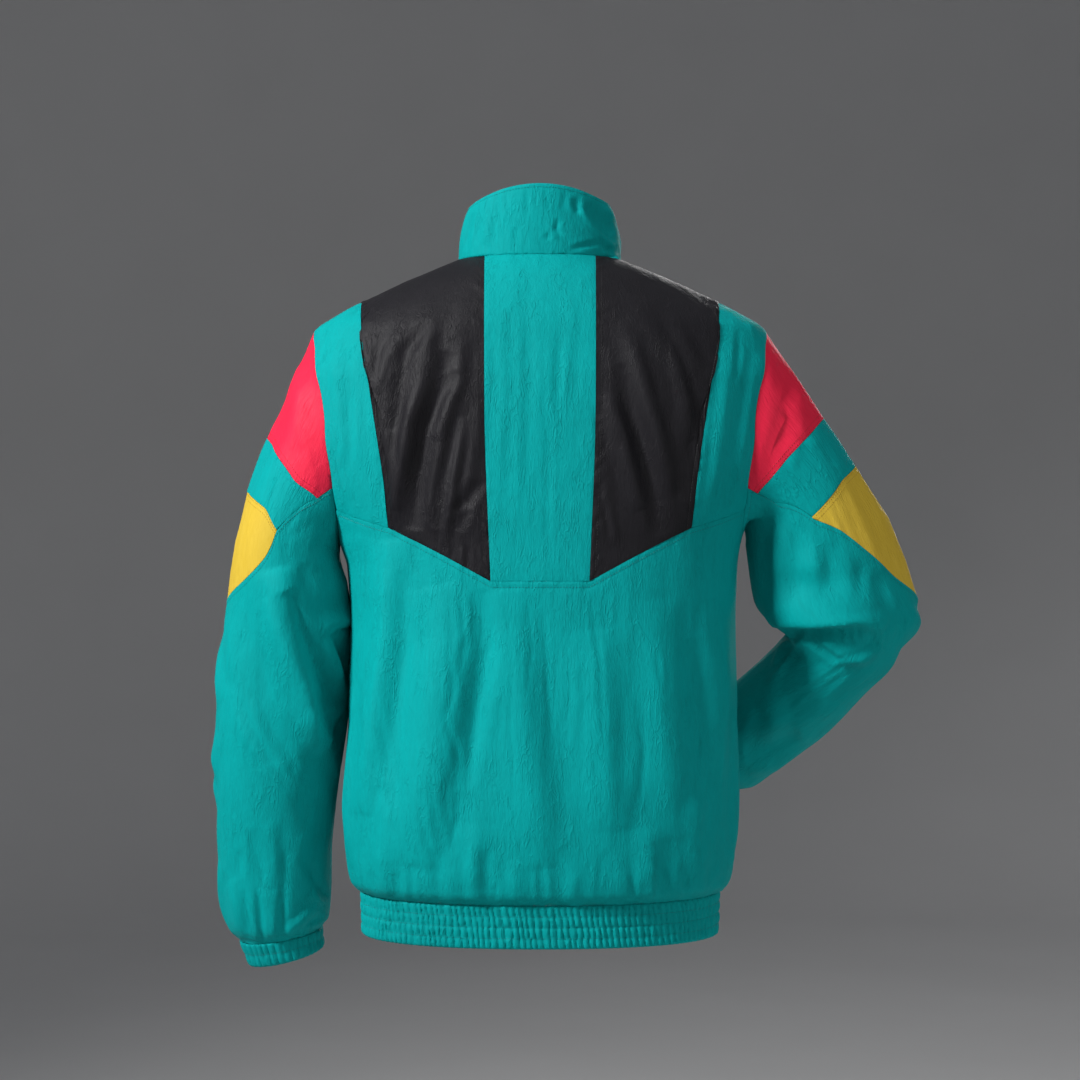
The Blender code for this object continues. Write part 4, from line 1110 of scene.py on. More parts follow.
def noise_of(nodes, source, scale, detail=2.0, roughness=0.5, distortion=0.0):
    return nodes.add(
        "ShaderNodeTexNoise",
        {
            "Vector": stretched(nodes, source, scale),
            "Scale": 1.0,
            "Detail": detail,
            "Roughness": roughness,
            "Distortion": distortion,
        },
    ).outputs["Fac"]


def wave_of(nodes, source, scale, direction, distortion=0.0):
    return nodes.add(
        "ShaderNodeTexWave",
        {"Vector": stretched(nodes, source, scale), "Scale": 1.0, "Distortion": distortion},
        bands_direction=direction,
    ).outputs["Fac"]


# Noises of the cloth: size in mm (across twice, then along), detail, roughness, distortion.
LONG_CRINKLE = ((2.8, 2.8, 13.0), 4.0, 0.62, 0.9)
FINE_CRINKLE = ((1.1, 1.1, 4.0), 3.0, 0.6, 0.3)
BROAD_TONE = ((60.0, 60.0, 90.0), 3.0, 0.55)
RIDGE_PATCHES = ((15.0, 15.0, 40.0), 2.0, 0.5)
RIDGES = ((6.0, 6.0, 21.0), 3.0, 0.55, 0.7)
WEAVE_SIZE = (0.62, 0.62, 1e6)
CRINKLE_HEIGHT = 0.0016
RIDGES_SHARE, LONG_SHARE, FINE_SHARE, WEAVE_SHARE = 0.22, 0.42, 0.16, 0.02  # of that height


def nylon(name, colour, dark, crinkled, roughness, specular):
    """Thin nylon: an even grain along the cloth, patches of sharper ridges, and a plain weave."""
    nodes = Nodes(name, Specular_IOR_Level=specular)
    cloth = nodes.add("ShaderNodeAttribute", attribute_name="cloth").outputs["Vector"]
    long_crinkle = noise_of(nodes, cloth, *LONG_CRINKLE)
    fine_crinkle = noise_of(nodes, cloth, *FINE_CRINKLE)
    broad = noise_of(nodes, cloth, *BROAD_TONE)
    patches = nodes.ramp(noise_of(nodes, cloth, *RIDGE_PATCHES), 0.44, 0.6)
    ridges = nodes.math("SUBTRACT", noise_of(nodes, cloth, *RIDGES), 0.5)
    ridges = nodes.ramp(nodes.math("ABSOLUTE", ridges), 0.06, 0.0)
    weave = wave_of(nodes, cloth, WEAVE_SIZE, "DIAGONAL", 0.6)
    # Painted highlight and painted shade: the colour is lighter on the long crinkle's ridges and
    # darker in its troughs, where the bump rises and sinks; the broad noise adds tone that differs
    # at random.
    crinkle_ridge_light = nodes.math("MULTIPLY", nodes.ramp(long_crinkle, 0.3, 0.7), 0.55)
    share = nodes.math("ADD", crinkle_ridge_light, nodes.math("MULTIPLY", nodes.ramp(broad, 0.3, 0.7), 0.45))
    nodes.link(nodes.mix(share, dark, colour), "Base Color")
    rough = nodes.math("ADD", roughness - 0.06, nodes.math("MULTIPLY", fine_crinkle, 0.12))
    nodes.link(rough, "Roughness")
    ridges = nodes.math("MULTIPLY", ridges, patches)
    height = nodes.math("MULTIPLY", ridges, RIDGES_SHARE * crinkled)
    shares = (LONG_SHARE * crinkled, FINE_SHARE * crinkled, WEAVE_SHARE)
    for layer, weight in zip((long_crinkle, fine_crinkle, weave), shares):
        height = nodes.math("ADD", height, nodes.math("MULTIPLY", layer, weight))
    nodes.bump(height, 1.0, CRINKLE_HEIGHT)
    return nodes.material


def thread_looks(name, colour):
    nodes = Nodes(name, Roughness=0.55, Specular_IOR_Level=0.4)
    place = nodes.add("ShaderNodeTexCoord").outputs["Object"]
    twist = noise_of(nodes, place, (0.4, 0.4, 0.4), 2.0)
    nodes.link(nodes.mix(twist, tuple(c * 0.75 for c in colour[:3]) + (1,), colour), "Base Color")
    return nodes.material


# Each colour and its darker copy: the darker copy lies in the crinkle's troughs as painted shade,
# and is also spread by broad noise as tone that differs at random.
TEAL = srgb(0, 168, 168)
TEAL_DARK = srgb(0, 154, 154)
BLACK = srgb(33, 32, 36)
BLACK_DARK = srgb(24, 23, 27)
RED = srgb(248, 44, 78)
RED_DARK = srgb(232, 32, 66)
YELLOW = srgb(226, 194, 70)
YELLOW_DARK = srgb(212, 178, 54)

LOOKS = {
    "teal": nylon("teal_crinkled_nylon", TEAL, TEAL_DARK, 1.0, 0.68, 0.08),
    "black": nylon("black_smooth_nylon", BLACK, BLACK_DARK, 0.7, 0.48, 0.15),
    "red": nylon("red_smooth_nylon", RED, RED_DARK, 0.5, 0.55, 0.15),
    "yellow": nylon("yellow_smooth_nylon", YELLOW, YELLOW_DARK, 0.5, 0.55, 0.15),
}
THREADS = {
    "teal": thread_looks("teal_thread", srgb(0, 132, 130)),
    "black": thread_looks("black_thread", srgb(20, 20, 22)),
    "red": thread_looks("red_thread", srgb(205, 24, 52)),
    "yellow": thread_looks("yellow_thread", srgb(196, 158, 32)),
}


# --- one cut piece --------------------------------------------------------------------------------
DIP_WIDTH = 1.4
STRIP_RISE = 0.12  # a felled strip stands up by this
STRIP_FROM, STRIP_LEAN = 0.5, 1.2  # where it begins beside its seam, and how far it rises over
STRIP_PAST, STRIP_FALL = 1.6, 2.0  # where it ends beyond its stitching, and how far it falls over
GROOVE_DEPTH, GROOVE_WIDTH = 0.45, 1.2
PUCKER_SIZES = (6.5, 3.6)
PUCKER_REACH, PUCKER_SLANT = 9.0, 0.7
GATHERS = ((6, 11, 1.1), (13, 26, 0.9), (40, 80, 0.9))  # size, reach into the cloth, height
FOLDS_START, FOLDS_RUN = 1, 14  # where folds begin beside a pinned edge, and how fast they rise
SLEEVE_WRAP = 58  # radius at which the cloth of a sleeve is laid round it

SEAM = {"dip": 0.25, "pucker": 0.3}
STITCHED = {"dip": 0.3, "strip": 6.0, "pucker": 0.7, "stitches": (5.8,)}
GATHERED = {"dip": 0.6, "gather": 0.6, "pucker": 0.8}
SEAMS = dict.fromkeys(("top", "bottom", "left", "right"), SEAM)


def seam_relief(distances, over, down, kinds, seed):
    """Dips at the seams, raised felled strips with a stitched groove, and small puckers."""
    total = np.zeros_like(over)
    for k, (edge, kind) in enumerate(kinds.items()):
        away = distances[edge]
        along = over if edge in ("top", "bottom") else down
        strip = kind.get("strip", 0)
        total -= kind["dip"] * np.exp(-((away / DIP_WIDTH) ** 2))
        if strip:
            inside = smooth((away - STRIP_FROM) / STRIP_LEAN)
            inside = inside * smooth((strip + STRIP_PAST - away) / STRIP_FALL)
            groove = np.exp(-(((away - strip) / GROOVE_WIDTH) ** 2))
            total += STRIP_RISE * inside - GROOVE_DEPTH * groove
        slant = along + PUCKER_SLANT * away
        large, small = (slant / size for size in PUCKER_SIZES)
        wave = noise_line(large, seed + k) + 0.7 * noise_line(small, seed + 7 + k)
        fade = smooth(away / 1.5 + 0.3)
        total += kind["pucker"] * wave * np.exp(-((away / PUCKER_REACH) ** 2)) * fade
        if "gather" in kind:
            for size, reach, height in GATHERS:
                wander = 0.15 * noise_line(away / 30, seed)
                fold = noise_line(along / size + wander, seed + 20 + k + size)
                total += kind["gather"] * height * fold * np.exp(-away / reach) * smooth(away / 4.0)
    return total


def cloth_places(group, points, grid):
    """The cloth's own coordinates: its grain is upright on the body, and runs along a sleeve."""
    if group not in SLEEVES:
        return points
    sleeve = SLEEVES[group]
    turn = np.radians(grid[..., 1])
    along = np.interp(grid[..., 0], np.arange(sleeve.last + 1), sleeve.lengths)
    return np.stack([SLEEVE_WRAP * np.cos(turn), SLEEVE_WRAP * np.sin(turn), along], -1)


def make_piece(
    name, group, colour, surface, grid, normals, kinds,
    strength=1.0, held="hung", relief=None, closed=False, pinned=(),
):
    """One cut piece of cloth: a shell on the solid's form, with all its relief and stitching."""
    seed = sum(map(ord, name))
    points = on_grid(surface, grid)
    cloth = cloth_places(group, points, grid)
    distances, over, down = border_distances(points, closed)
    if relief is None:
        soft = main_folds(points) + creases(group, points, unit(normals))
        armholes = [near_armhole(points, arm)[0] for arm in SLEEVES]
        for away in armholes + [distances[edge] for edge in pinned]:
            soft = soft * smooth((away - FOLDS_START) / FOLDS_RUN)
        relief = soft + crinkle(cloth, strength, seed)
        relief = relief + seam_relief(distances, over, down, kinds, seed)
    base = inset(points, normals, closed, SEAM_GAP)
    outer = base + normals * (WALL + relief)[..., None]
    inner = outer - normals * CLOTH
    made = cloth_shell(f"{name}_cloth", outer, inner, cloth, LOOKS[colour], closed)
    for edge, kind in kinds.items():
        for away in kind.get("stitches", ()):
            line, out = line_inside(outer, normals, distances, edge, away)
            if closed:
                line, out = ringed(line, out)
            stitch(colour, line + out * STITCH_LIFT, out)
    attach(made, "garment")
    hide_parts(name)


def lean_to_armhole(normals, points, arm):
    """Turns the normals near an armhole to the direction of its seam."""
    away, out = near_armhole(points, arm)
    share = np.clip(away / SEAM_LEAN, 0, 1)[..., None]
    return normals * share + out * (1 - share)


# --- body pieces ----------------------------------------------------------------------------------
def body_piece(name, grid, colour, kinds, strength=1.0, pinned=("top",)):
    angle, level = grid[..., 0], grid[..., 1]
    points = body(angle, level)
    normals = body_normal(angle, level)
    at_neck, at_waist = np.abs(level) < 1e-6, np.abs(level - WAIST_SEAM) < 1e-6
    normals[at_neck] = neck_mitre(angle[at_neck])
    normals[at_waist] = waist_normal(angle[at_waist])
    for arm in SLEEVES:
        normals = lean_to_armhole(normals, points, arm)
    make_piece(name, "body", colour, body, grid, normals, kinds, strength, pinned=pinned)


def shoulder(level):
    share = np.asarray(level, float) / SHOULDER_TIP
    angle = SHOULDER_SEAM_START + (90 - SHOULDER_SEAM_START) * share
    return np.stack([angle, level + 0 * share], -1)


def table_line(corners, count=160):
    """A dense line down the back from a table of (distance from the centre, level)."""
    corners = np.array(sorted(corners, key=lambda row: row[1]), float)
    levels = np.linspace(corners[-1, 1], corners[0, 1], count + 1)
    return np.stack([angle_at(rounded(corners[:, 1], corners[:, 0], levels), levels), levels], -1)


def yoke_lines():
    inner = table_line(BLACK_INNER)
    outer = table_line(BLACK_OUTER)
    outer[0] = shoulder(BLACK_SHOULDER)
    neck_end = (SHOULDER_SEAM_START, 0.0)
    to_black_end = shoulder(np.linspace(0, BLACK_SHOULDER, 60))
    xs, levels = np.array(YOKE_SEAM, float).T
    places = np.linspace(xs[0], xs[-1], 120)
    seam_levels = rounded(xs, levels, places)
    seam = np.stack([angle_at(places, seam_levels), seam_levels], -1)
    seam[0], seam[-1] = inner[-1], outer[-1]
    meets = np.array(armhole(YOKE_MEETS_ARMHOLE, 1))
    return {
        "inner": inner,
        "outer": outer,
        "armhole": armhole_line(0, YOKE_MEETS_ARMHOLE),
        "neck": dense(tuple(inner[0]), neck_end),
        "black_top": np.vstack([dense(tuple(inner[0]), neck_end), to_black_end[1:]]),
        "black_bottom": seam,
        "side_top": shoulder(np.linspace(BLACK_SHOULDER, SHOULDER_TIP, 60)),
        "side_bottom": dense(tuple(seam[-1]), tuple(meets)),
    }


def armhole_line(start, end, side=1):
    return np.stack(armhole(np.linspace(start, end, 200), side), -1)


def round_back(line):
    return np.stack([360 - line[..., 0], line[..., 1]], -1)


def same(line):
    return line


def mirrored(line):
    return np.stack([-line[..., 0], line[..., 1]], -1)


def zip_edge(level):
    return np.stack([angle_at(ZIP_HALF, level, front=True), level + np.zeros_like(level)], -1)


def make_back():
    lines = yoke_lines()
    ends = lines["inner"][[0, -1]]
    top, bottom = (dense(tuple(corner), (360 - corner[0], corner[1])) for corner in ends)
    grid = patch(body, top, bottom, lines["inner"], round_back(lines["inner"]), CELL)
    body_piece("back_centre", grid, "teal", SEAMS)
    beside = dict(STITCHED, pucker=1.15)
    kinds = dict(SEAMS, left=beside, right=beside)
    for arm, turned in (("left", same), ("right", round_back)):
        sides = [turned(lines[e]) for e in ("black_top", "black_bottom", "inner", "outer")]
        grid = patch(body, *sides, BLACK_CELL)
        body_piece(f"back_black_{arm}", grid, "black", kinds, BLACK_CRINKLE)
        sides = [turned(lines[e]) for e in ("side_top", "side_bottom", "outer", "armhole")]
        body_piece(f"back_side_{arm}", patch(body, *sides, CELL), "teal", SEAMS)
    below = armhole_line(180, YOKE_MEETS_ARMHOLE)
    half = np.vstack([below, lines["side_bottom"][::-1][1:], lines["black_bottom"][::-1][1:]])
    top = np.vstack([half, bottom[1:-1], round_back(half)[::-1]])
    hem = dense((90.0, WAIST_SEAM), (270.0, WAIST_SEAM), count=300)
    seam = dense((90.0, UNDERARM), (90.0, WAIST_SEAM), count=300)
    grid = patch(body, top, hem, seam, round_back(seam), CELL)
    kinds = dict(SEAMS, top=STITCHED, bottom=GATHERED)
    body_piece("back_lower", grid, "teal", kinds, pinned=("bottom",))


def make_fronts():
    inner = zip_edge(np.linspace(0, WAIST_SEAM, 300))
    to_tip = shoulder(np.linspace(0, SHOULDER_TIP, 120))
    top = np.vstack([dense(tuple(inner[0]), (SHOULDER_SEAM_START, 0.0)), to_tip[1:]])
    side_seam = dense((90.0, UNDERARM), (90.0, WAIST_SEAM), count=200)
    outer = np.vstack([armhole_line(0, -180), side_seam[1:]])
    bottom = dense(tuple(inner[-1]), (90.0, WAIST_SEAM))
    grid = patch(body, top, bottom, inner, outer, HIDDEN_CELL, fade=4)
    placket = dict(STITCHED, strip=8.0, stitches=(2.5, 7.8))
    kinds = dict(SEAMS, bottom=GATHERED, left=placket)
    for arm, turned in (("left", same), ("right", mirrored)):
        body_piece(f"front_{arm}", turned(grid), "teal", kinds, pinned=("top", "bottom"))


def make_collar():
    rows = np.linspace(0, 1, COLLAR_GRID[0])
    start = np.degrees(np.arcsin(ZIP_HALF / COLLAR.at(rows, "half_width")))
    start[0] = zip_edge(np.array(0.0))[0]
    share = np.linspace(0, 1, COLLAR_GRID[1])
    angles = start[:, None] * (1 - share) + (360 - start[:, None]) * share
    grid = np.stack([angles, np.repeat(rows[:, None], len(share), 1)], -1)
    normals = on_grid(collar_normal, grid)
    normals[0] = neck_mitre(grid[0, :, 0])
    edge = {"dip": 0.9, "strip": 4.0, "pucker": 0.15, "stitches": (4.0,)}
    kinds = dict(SEAMS, bottom=edge, left=edge, right=edge)
    make_piece("collar", "collar", "teal", collar, grid, normals, kinds, COLLAR_CRINKLE, "draped")


# --- ribbed bands ---------------------------------------------------------------------------------
RIB_SAMPLES = 6  # mesh columns to a rib
RIB_HEIGHT, RIB_SINK = 3.1, 0.4
WAIST_PITCH = 6.1
CUFF_RIBS = 34
WAIST_GRID_ROWS, CUFF_GRID_ROWS = 27, 15
RIB_BULGE_POWER, RIDGE_POWER = 0.35, 0.6
RIB_WANDER = ((0.5, 23), (0.3, 9))  # in ribs, and the size of it in mm
WANDER_FADE = 12  # beside the line where a ring closes
UNEVEN_SIZE = 5


def ribs(over, down, height, rows, pitch, seed, girth=None):
    """Shirred cells between rows of stitching: each rib swells between two rows and wanders."""
    share = down / height * rows
    row = np.minimum(np.floor(share), rows - 1)
    bulge = np.clip(np.sin(np.pi * (share - row)), 0, 1) ** RIB_BULGE_POWER
    (broad, broad_size), (fine, fine_size) = RIB_WANDER
    wander = broad * noise_line(over / broad_size, seed)
    wander = wander + fine * noise_line(over / fine_size + 31 * row, seed + 1)
    if girth:
        wander = wander * smooth(over / WANDER_FADE) * smooth((girth - over) / WANDER_FADE)
    ridge = np.abs(np.sin(np.pi * (over / pitch + wander))) ** RIDGE_POWER
    uneven = 0.85 + 0.3 * noise_line(over / UNEVEN_SIZE + 17 * row, seed + 2)
    return RIB_HEIGHT * ridge * uneven * (0.5 + 0.5 * bulge) - RIB_SINK * (1 - bulge) - RIB_SINK


def make_waistband():
    rows = np.linspace(WAIST_SEAM, HEM, WAIST_GRID_ROWS)
    start = zip_edge(np.array(WAIST_SEAM))[0]
    fine = np.linspace(start, 360 - start, 2881)
    run = run_along(body(fine, WAIST_SEAM))
    columns = int(run[-1] / WAIST_PITCH * RIB_SAMPLES)
    angles = np.interp(np.linspace(0, run[-1], columns + 1), run, fine)
    grid = np.stack(np.broadcast_arrays(angles[None, :], rows[:, None]), -1)
    normals = waist_normal(grid[..., 0])
    points = on_grid(body, grid)
    _, over, down = border_distances(points)
    relief = ribs(over, down, WAIST_SEAM - HEM, 4, WAIST_PITCH, 91)
    make_piece("waistband", "body", "teal", body, grid, normals, {}, held="gathered", relief=relief)
    band_stitches(points, normals, relief, (0.25, 0.5, 0.75), False)


def band_stitches(points, normals, relief, shares, closed):
    """Rows of stitching round a ribbed band, at these shares of its height."""
    for share in shares:
        low, part = divmod(share * (len(points) - 1), 1)
        low = int(low)
        high = min(low + 1, len(points) - 1)
        line, lift = (table[low] * (1 - part) + table[high] * part for table in (points, relief))
        out = normals[low]
        line = line + out * (WALL + lift + BAND_STITCH_LIFT)[:, None]
        if closed:
            line, out = ringed(line, out)
        stitch("teal", line, out)


def make_cuff(arm):
    sleeve = SLEEVES[arm]
    first, last = CUFF_ROWS[arm]
    turns = np.linspace(-180, 180, CUFF_RIBS * RIB_SAMPLES + 1)[:-1]
    rows = np.linspace(first, last, CUFF_GRID_ROWS)
    grid = np.stack(np.broadcast_arrays(rows[:, None], turns[None, :]), -1)
    points = on_grid(sleeve, grid)
    normals = np.repeat(sleeve.ring_normal(first, turns)[None], len(rows), 0)
    run = run_along(*ringed(points[0]))
    girth = run[-1]
    _, _, down = border_distances(points, True)
    over = np.repeat(run[None, :-1], len(rows), 0)
    height = down[-1].mean()
    relief = ribs(over, down / down[-1:] * height, height, 2, girth / CUFF_RIBS, 17, girth)
    given = {"held": "gathered", "relief": relief, "closed": True}
    make_piece(f"cuff_{arm}", arm, "teal", sleeve, grid, normals, {}, **given)
    band_stitches(points, normals, relief, (0.5,), True)


# --- sleeves --------------------------------------------------------------------------------------
def bowed(start, corners, count=120):
    """A line from start through its corners, as a smooth function of the turn."""
    line = np.array((start,) + tuple(corners), float)
    order = np.argsort(line[:, 1])
    turns = np.linspace(line[0, 1], line[-1, 1], count + 1)
    return np.stack([rounded(line[order, 1], line[order, 0], turns), turns], -1)


def both_sides(half):
    """A line from turn 0 to the back tip, made into one from the front tip to the back tip."""
    return np.vstack([np.stack([half[:, 0], -half[:, 1]], -1)[::-1], half[1:]])


def sleeve_lines(arm):
    seams = SLEEVE_SEAMS[arm]
    tip = (0.0, SLEEVE_SEAM_TURN)
    return {
        "armhole": dense((0.0, 0.0), tip, count=160),
        "red_side": dense(tip, seams["red_tip"]),
        "red_low": bowed((seams["red_outer"], 0), seams["red_low"]),
        "band_side": dense(seams["red_tip"], seams["band_middle"], seams["yellow_tip"]),
        "yellow_top": bowed((seams["yellow_outer"], 0), seams["yellow_top"]),
        "yellow_side": dense(seams["yellow_tip"], seams["yellow_tip_end"]),
        "yellow_low": bowed(seams["yellow_tip_end"], seams["yellow_lower"])[::-1],
    }


def sleeve_piece(name, arm, grid, colour, kinds, strength, closed=False, pinned=()):
    sleeve = SLEEVES[arm]
    cuff_row = CUFF_ROWS[arm][0]
    row, turn = grid[..., 0], grid[..., 1]
    normals = lean_to_armhole(sleeve_normal(sleeve, row, turn), sleeve(row, turn), arm)
    at_cuff = np.abs(row - cuff_row) < 1e-6
    normals[at_cuff] = sleeve.ring_normal(cuff_row, turn[at_cuff])
    given = {"closed": closed, "pinned": pinned}
    make_piece(name, arm, colour, sleeve, grid, normals, kinds, strength, **given)


TWIN_STITCHED = dict(STITCHED, stitches=(1.6, 5.8))
YELLOW_KINDS = {"top": TWIN_STITCHED, "bottom": SEAM}
SLEEVE_PARTS = (
    # part, top line, bottom line, side line, colour, edges
    ("red", "armhole", "red_low", "red_side", "red", dict(SEAMS, bottom=TWIN_STITCHED)),
    ("band", "red_low", "yellow_top", "band_side", "teal", SEAMS),
    ("yellow", "yellow_top", "yellow_low", "yellow_side", "yellow", YELLOW_KINDS),
)
# The turns at which a main piece's columns end at the cuff, from its outer line, the red piece's
# corner, the armhole seam and the underarm.
CUFF_TURNS = (0.0, 108.0, 133.0, 180.0)
SETTLED_BY = 0.4  # the columns run straight after this share of the sleeve
MAIN_CELL = (CELL * 1.1, CELL * 1.05)  # round the sleeve, and along it
MAIN_SHORTER = 60  # how much shorter than the sleeve the main piece is taken to be, for its rows


def make_sleeve(arm):
    lines = sleeve_lines(arm)
    sleeve = SLEEVES[arm]
    for part, top, bottom, side, colour, kinds in SLEEVE_PARTS:
        back = lines[side]
        front = np.stack([back[:, 0], -back[:, 1]], -1)
        grid = patch(sleeve, both_sides(lines[top]), both_sides(lines[bottom]), front, back, CELL)
        strength = 1.0 if colour == "teal" else BRIGHT_CRINKLE
        sleeve_piece(f"sleeve_{arm}_{part}", arm, grid, colour, kinds, strength)
    # The main piece hangs from the lower ends of the other pieces and from the armhole below them.
    tips = [lines["yellow_low"], lines["yellow_side"][::-1][1:], lines["band_side"][::-1][1:]]
    to_red_tip = np.vstack(tips)
    to_armhole = lines["red_side"][::-1][1:]
    under = dense((0.0, SLEEVE_SEAM_TURN), (0.0, 180.0), count=160)[1:]
    half = np.vstack([to_red_tip, to_armhole, under])
    run = run_along(on_grid(sleeve, half))
    keys = [0, run[len(to_red_tip) - 1], run[len(to_red_tip) + len(to_armhole) - 1], run[-1]]
    at = np.linspace(0, run[-1], int(run[-1] / MAIN_CELL[0]) + 1)
    start, turn = (np.interp(at, run, half[:, k]) for k in (0, 1))
    even = np.interp(at, keys, CUFF_TURNS)
    signed = ((1, start), (-1, turn), (-1, even))
    start, turn, even = (np.concatenate([sign * row[:0:-1], row])[1:] for sign, row in signed)
    cuff_row = CUFF_ROWS[arm][0]
    rows = int((sleeve.lengths[cuff_row] - MAIN_SHORTER) / MAIN_CELL[1])
    share = np.linspace(0, 1, rows + 1)[:, None]
    settled = smooth(share / SETTLED_BY)
    grid = np.stack([start + (cuff_row - start) * share, turn + (even - turn) * settled], -1)
    kinds = {"top": dict(STITCHED, pucker=0.5), "bottom": GATHERED}
    given = {"closed": True, "pinned": ("bottom",)}
    sleeve_piece(f"sleeve_{arm}_main", arm, grid, "teal", kinds, 1.0, **given)


# --- front zip ------------------------------------------------------------------------------------
def zip_line():
    """Points and normals down the centre front, from the collar's top to the hem."""
    heights = np.linspace(1, 0.08, 40)
    levels = np.linspace(-4, -620, 300)
    band = np.linspace(WAIST_SEAM, HEM, 24)
    points = np.vstack([collar(0.0, heights), body(0.0, levels), body(0.0, band)])
    in_band = waist_normal(np.zeros_like(band))
    return points, np.vstack([collar_normal(0.0, heights), body_normal(0.0, levels), in_band])


TAPE_PITCH = 2.4
TAPE_COLUMNS = np.array((0.15, 1.2, 2.4, 3.6, 4.9, 6.3))  # from the zip's middle outwards
TAPE_SINK, TAPE_EDGE_SINK, TAPE_EDGE = 0.3, 0.15, 4  # below the front's cloth; more beyond the edge
TAPE_WEAVE = 1.2
TAPE_COLOURS = (srgb(0, 88, 90), srgb(0, 120, 120))
TOOTH_PITCH = 2.5
TOOTH_SIZE = (3.1, 1.3, 1.2)  # across the zip, out of it, along it
TOOTH_LIFT, TOOTH_ASIDE, TOOTH_NARROWS = 0.35, 0.75, 0.7
TEETH_FROM_ENDS = 3


def tape_looks():
    nodes = Nodes("woven_zip_tape", Roughness=0.85, Sheen_Weight=0.3)
    place = nodes.add("ShaderNodeTexCoord").outputs["Object"]
    along = wave_of(nodes, place, (1e6, 1e6, TAPE_WEAVE), "Z")
    across = wave_of(nodes, place, (TAPE_WEAVE, 1e6, 1e6), "X")
    woven = nodes.math("MULTIPLY", along, across)
    # Painted shade: the tape's colour is darker where the weave's bump sinks, between the threads.
    nodes.link(nodes.mix(woven, *TAPE_COLOURS), "Base Color")
    nodes.bump(woven, 0.6, 0.0003)
    return nodes.material


def make_zip(metal):
    line, out = resample(*zip_line(), pitch=TAPE_PITCH)
    looks = tape_looks()
    normals = np.repeat(out[:, None], len(TAPE_COLUMNS), 1)
    lift = WALL - TAPE_SINK - TAPE_EDGE_SINK * (TAPE_COLUMNS > TAPE_EDGE)
    for arm, side in (("left", 1), ("right", -1)):
        grid = line[:, None] + TAPE_COLUMNS[None, :, None] * np.array((side, 0, 0))
        outer = grid + normals * lift[None, :, None]
        name = f"zip_tape_{arm}"
        made = cloth_shell(f"{name}_cloth", outer, outer - normals * CLOTH, outer, looks)
        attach(made, "garment")
        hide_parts(name)
    make_teeth(metal)


def make_teeth(looks):
    line, out = resample(*zip_line(), pitch=TOOTH_PITCH / 2)
    out = unit(out)
    verts, faces = [], []
    cube = np.array(list(itertools.product((-1, 1), repeat=3)), float) / 2
    sides = ((0, 1, 3, 2), (4, 6, 7, 5), (0, 4, 5, 1), (2, 3, 7, 6), (0, 2, 6, 4), (1, 5, 7, 3))
    for k in range(TEETH_FROM_ENDS, len(line) - TEETH_FROM_ENDS):
        along = unit(line[k + 1] - line[k - 1])
        axes = np.stack([np.array((1.0, 0, 0)), out[k], along])
        side = 1 if k % 2 else -1
        centre = line[k] + out[k] * (WALL + TOOTH_LIFT) + np.array((side * TOOTH_ASIDE, 0, 0))
        narrow = np.where(cube[:, :1] * side < 0, TOOTH_NARROWS, 1.0)
        block = cube * TOOTH_SIZE * np.hstack([np.ones_like(narrow), narrow, narrow])
        faces += [tuple(i + 8 * len(verts) for i in quad) for quad in sides]
        verts.append(centre + block @ axes)
    made = make_mesh("zip_teeth", np.vstack(verts), faces, looks, 30)
    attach(made, "garment")


def metal_looks():
    nodes = Nodes("plated_zip_metal", Metallic=1.0, Roughness=0.34)
    place = nodes.add("ShaderNodeTexCoord").outputs["Object"]
    wear = noise_of(nodes, place, (2.0, 2.0, 2.0), 4.0)
    nodes.link(nodes.mix(wear, srgb(150, 150, 152), srgb(176, 177, 180)), "Base Color")
    nodes.link(nodes.math("ADD", 0.26, nodes.math("MULTIPLY", wear, 0.18)), "Roughness")
    return nodes.material


# --- studio ---------------------------------------------------------------------------------------
SENSOR_WIDTH = 36
# The floor, in metres: its level, its flat part, and the bend into the wall round it.
FLOOR_LEVEL, FLOOR_FLAT = -1.3, 3.4
BEND_CENTRE, BEND_RADIUS = (4.0, 0.1), 1.4
WALL_TOP = 4.5
FLOOR_SEGMENTS = 96
FLOOR_COLOURS = ((0.62, 0.615, 0.61, 1), (0.66, 0.655, 0.65, 1))
FLOOR_GRAIN = (300.0, 300.0, 300.0)
LIGHTS_AIM = (0, 0, -0.3)
LIGHTS = (
    # name, place, size, power, spread
    ("key", (2.75, 1.85, 1.7), 0.7, 19.5, 60),
    ("fill", (-2.4, 2.4, 0.3), 2.0, 6.5, 90),
    ("front_key", (-0.8, -3.1, 0.5), 1.6, 6.5, 60),
    ("overhead", (0, 0.2, 2.4), 1.6, 8, 180),
)
WORLD_COLOUR, WORLD_STRENGTH = (0.9, 0.93, 1.0, 1), 0.22


def make_camera():
    data = bpy.data.cameras.new("camera")
    data.sensor_width = SENSOR_WIDTH
    data.lens = SENSOR_WIDTH * CAMERA_PLACE[1] / FRAME_PIXELS
    data.dof.use_dof = False
    camera = place_object("camera", data)
    camera.location = Vector(CAMERA_PLACE) * MM
    camera.rotation_euler = (math.pi / 2, 0, math.pi)
    bpy.context.scene.camera = camera


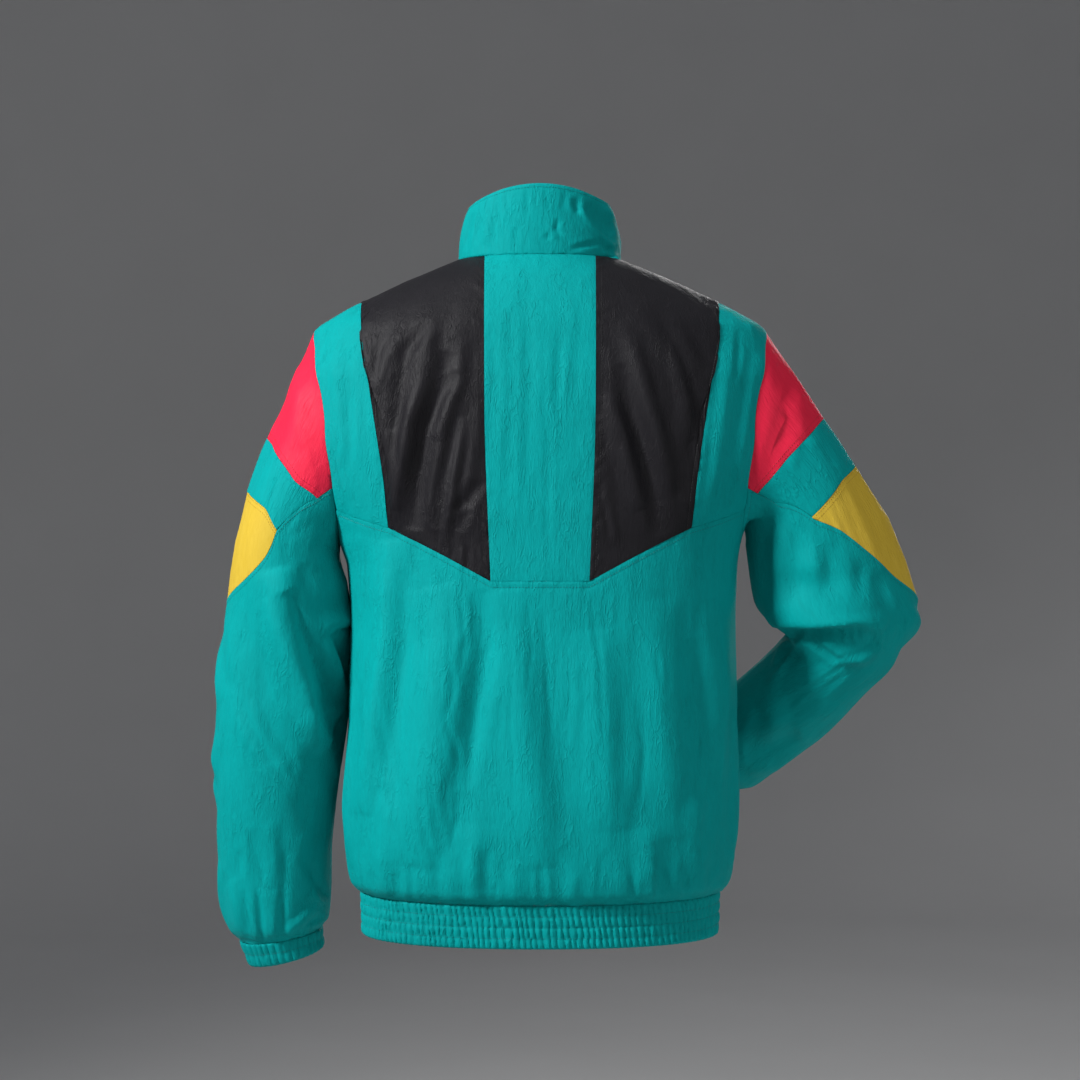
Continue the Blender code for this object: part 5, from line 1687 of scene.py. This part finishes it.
def make_floor():
    profile = [(0.0, FLOOR_LEVEL), (FLOOR_FLAT, FLOOR_LEVEL)]
    for degrees in range(0, 91, 10):
        bend = math.radians(degrees)
        out, up = BEND_RADIUS * math.sin(bend), BEND_RADIUS * math.cos(bend)
        profile.append((BEND_CENTRE[0] + out, BEND_CENTRE[1] - up))
    profile.append((BEND_CENTRE[0] + BEND_RADIUS, WALL_TOP))
    turns = [2 * math.pi * k / FLOOR_SEGMENTS for k in range(FLOOR_SEGMENTS)]
    verts = [(r * math.cos(turn), r * math.sin(turn), z) for r, z in profile for turn in turns]
    faces = []
    for low in range(0, len(verts) - FLOOR_SEGMENTS, FLOOR_SEGMENTS):
        high = low + FLOOR_SEGMENTS
        for k in range(FLOOR_SEGMENTS):
            n = (k + 1) % FLOOR_SEGMENTS
            inner = (low + n, low + k) if low else (0,)
            faces.append((high + k, high + n) + inner)
    nodes = Nodes("pale_floor", Roughness=0.9)
    place = nodes.add("ShaderNodeTexCoord").outputs["Object"]
    nodes.link(nodes.mix(noise_of(nodes, place, FLOOR_GRAIN), *FLOOR_COLOURS), "Base Color")
    mesh = bpy.data.meshes.new("studio_floor")
    mesh.from_pydata(verts, [], faces)
    mesh.shade_smooth()
    mesh.materials.append(nodes.material)
    place_object("studio_floor", mesh)


def make_lights():
    for name, place, size, power, spread in LIGHTS:
        data = bpy.data.lights.new(name, "AREA")
        data.shape = "SQUARE"
        data.size = size
        data.energy = power
        data.spread = math.radians(spread)
        light = place_object(name, data)
        light.location = place
        way = Vector(LIGHTS_AIM) - Vector(place)
        light.rotation_euler = way.to_track_quat("-Z", "Y").to_euler()
    world = bpy.data.worlds.new("soft_studio")
    world.use_nodes = True
    background = world.node_tree.nodes["Background"].inputs
    background[0].default_value = WORLD_COLOUR
    background[1].default_value = WORLD_STRENGTH
    bpy.context.scene.world = world
    bpy.context.scene.view_settings.view_transform = "Standard"


make_camera()
make_floor()
make_lights()
METAL = metal_looks()
make_back()
make_fronts()
make_collar()
make_waistband()
for arm_name in SLEEVES:
    make_sleeve(arm_name)
    make_cuff(arm_name)
make_zip(METAL)
for hardware in ("zip_slider", "zip_pull"):
    for material_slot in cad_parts[hardware].material_slots:
        material_slot.material = METAL
make_threads()
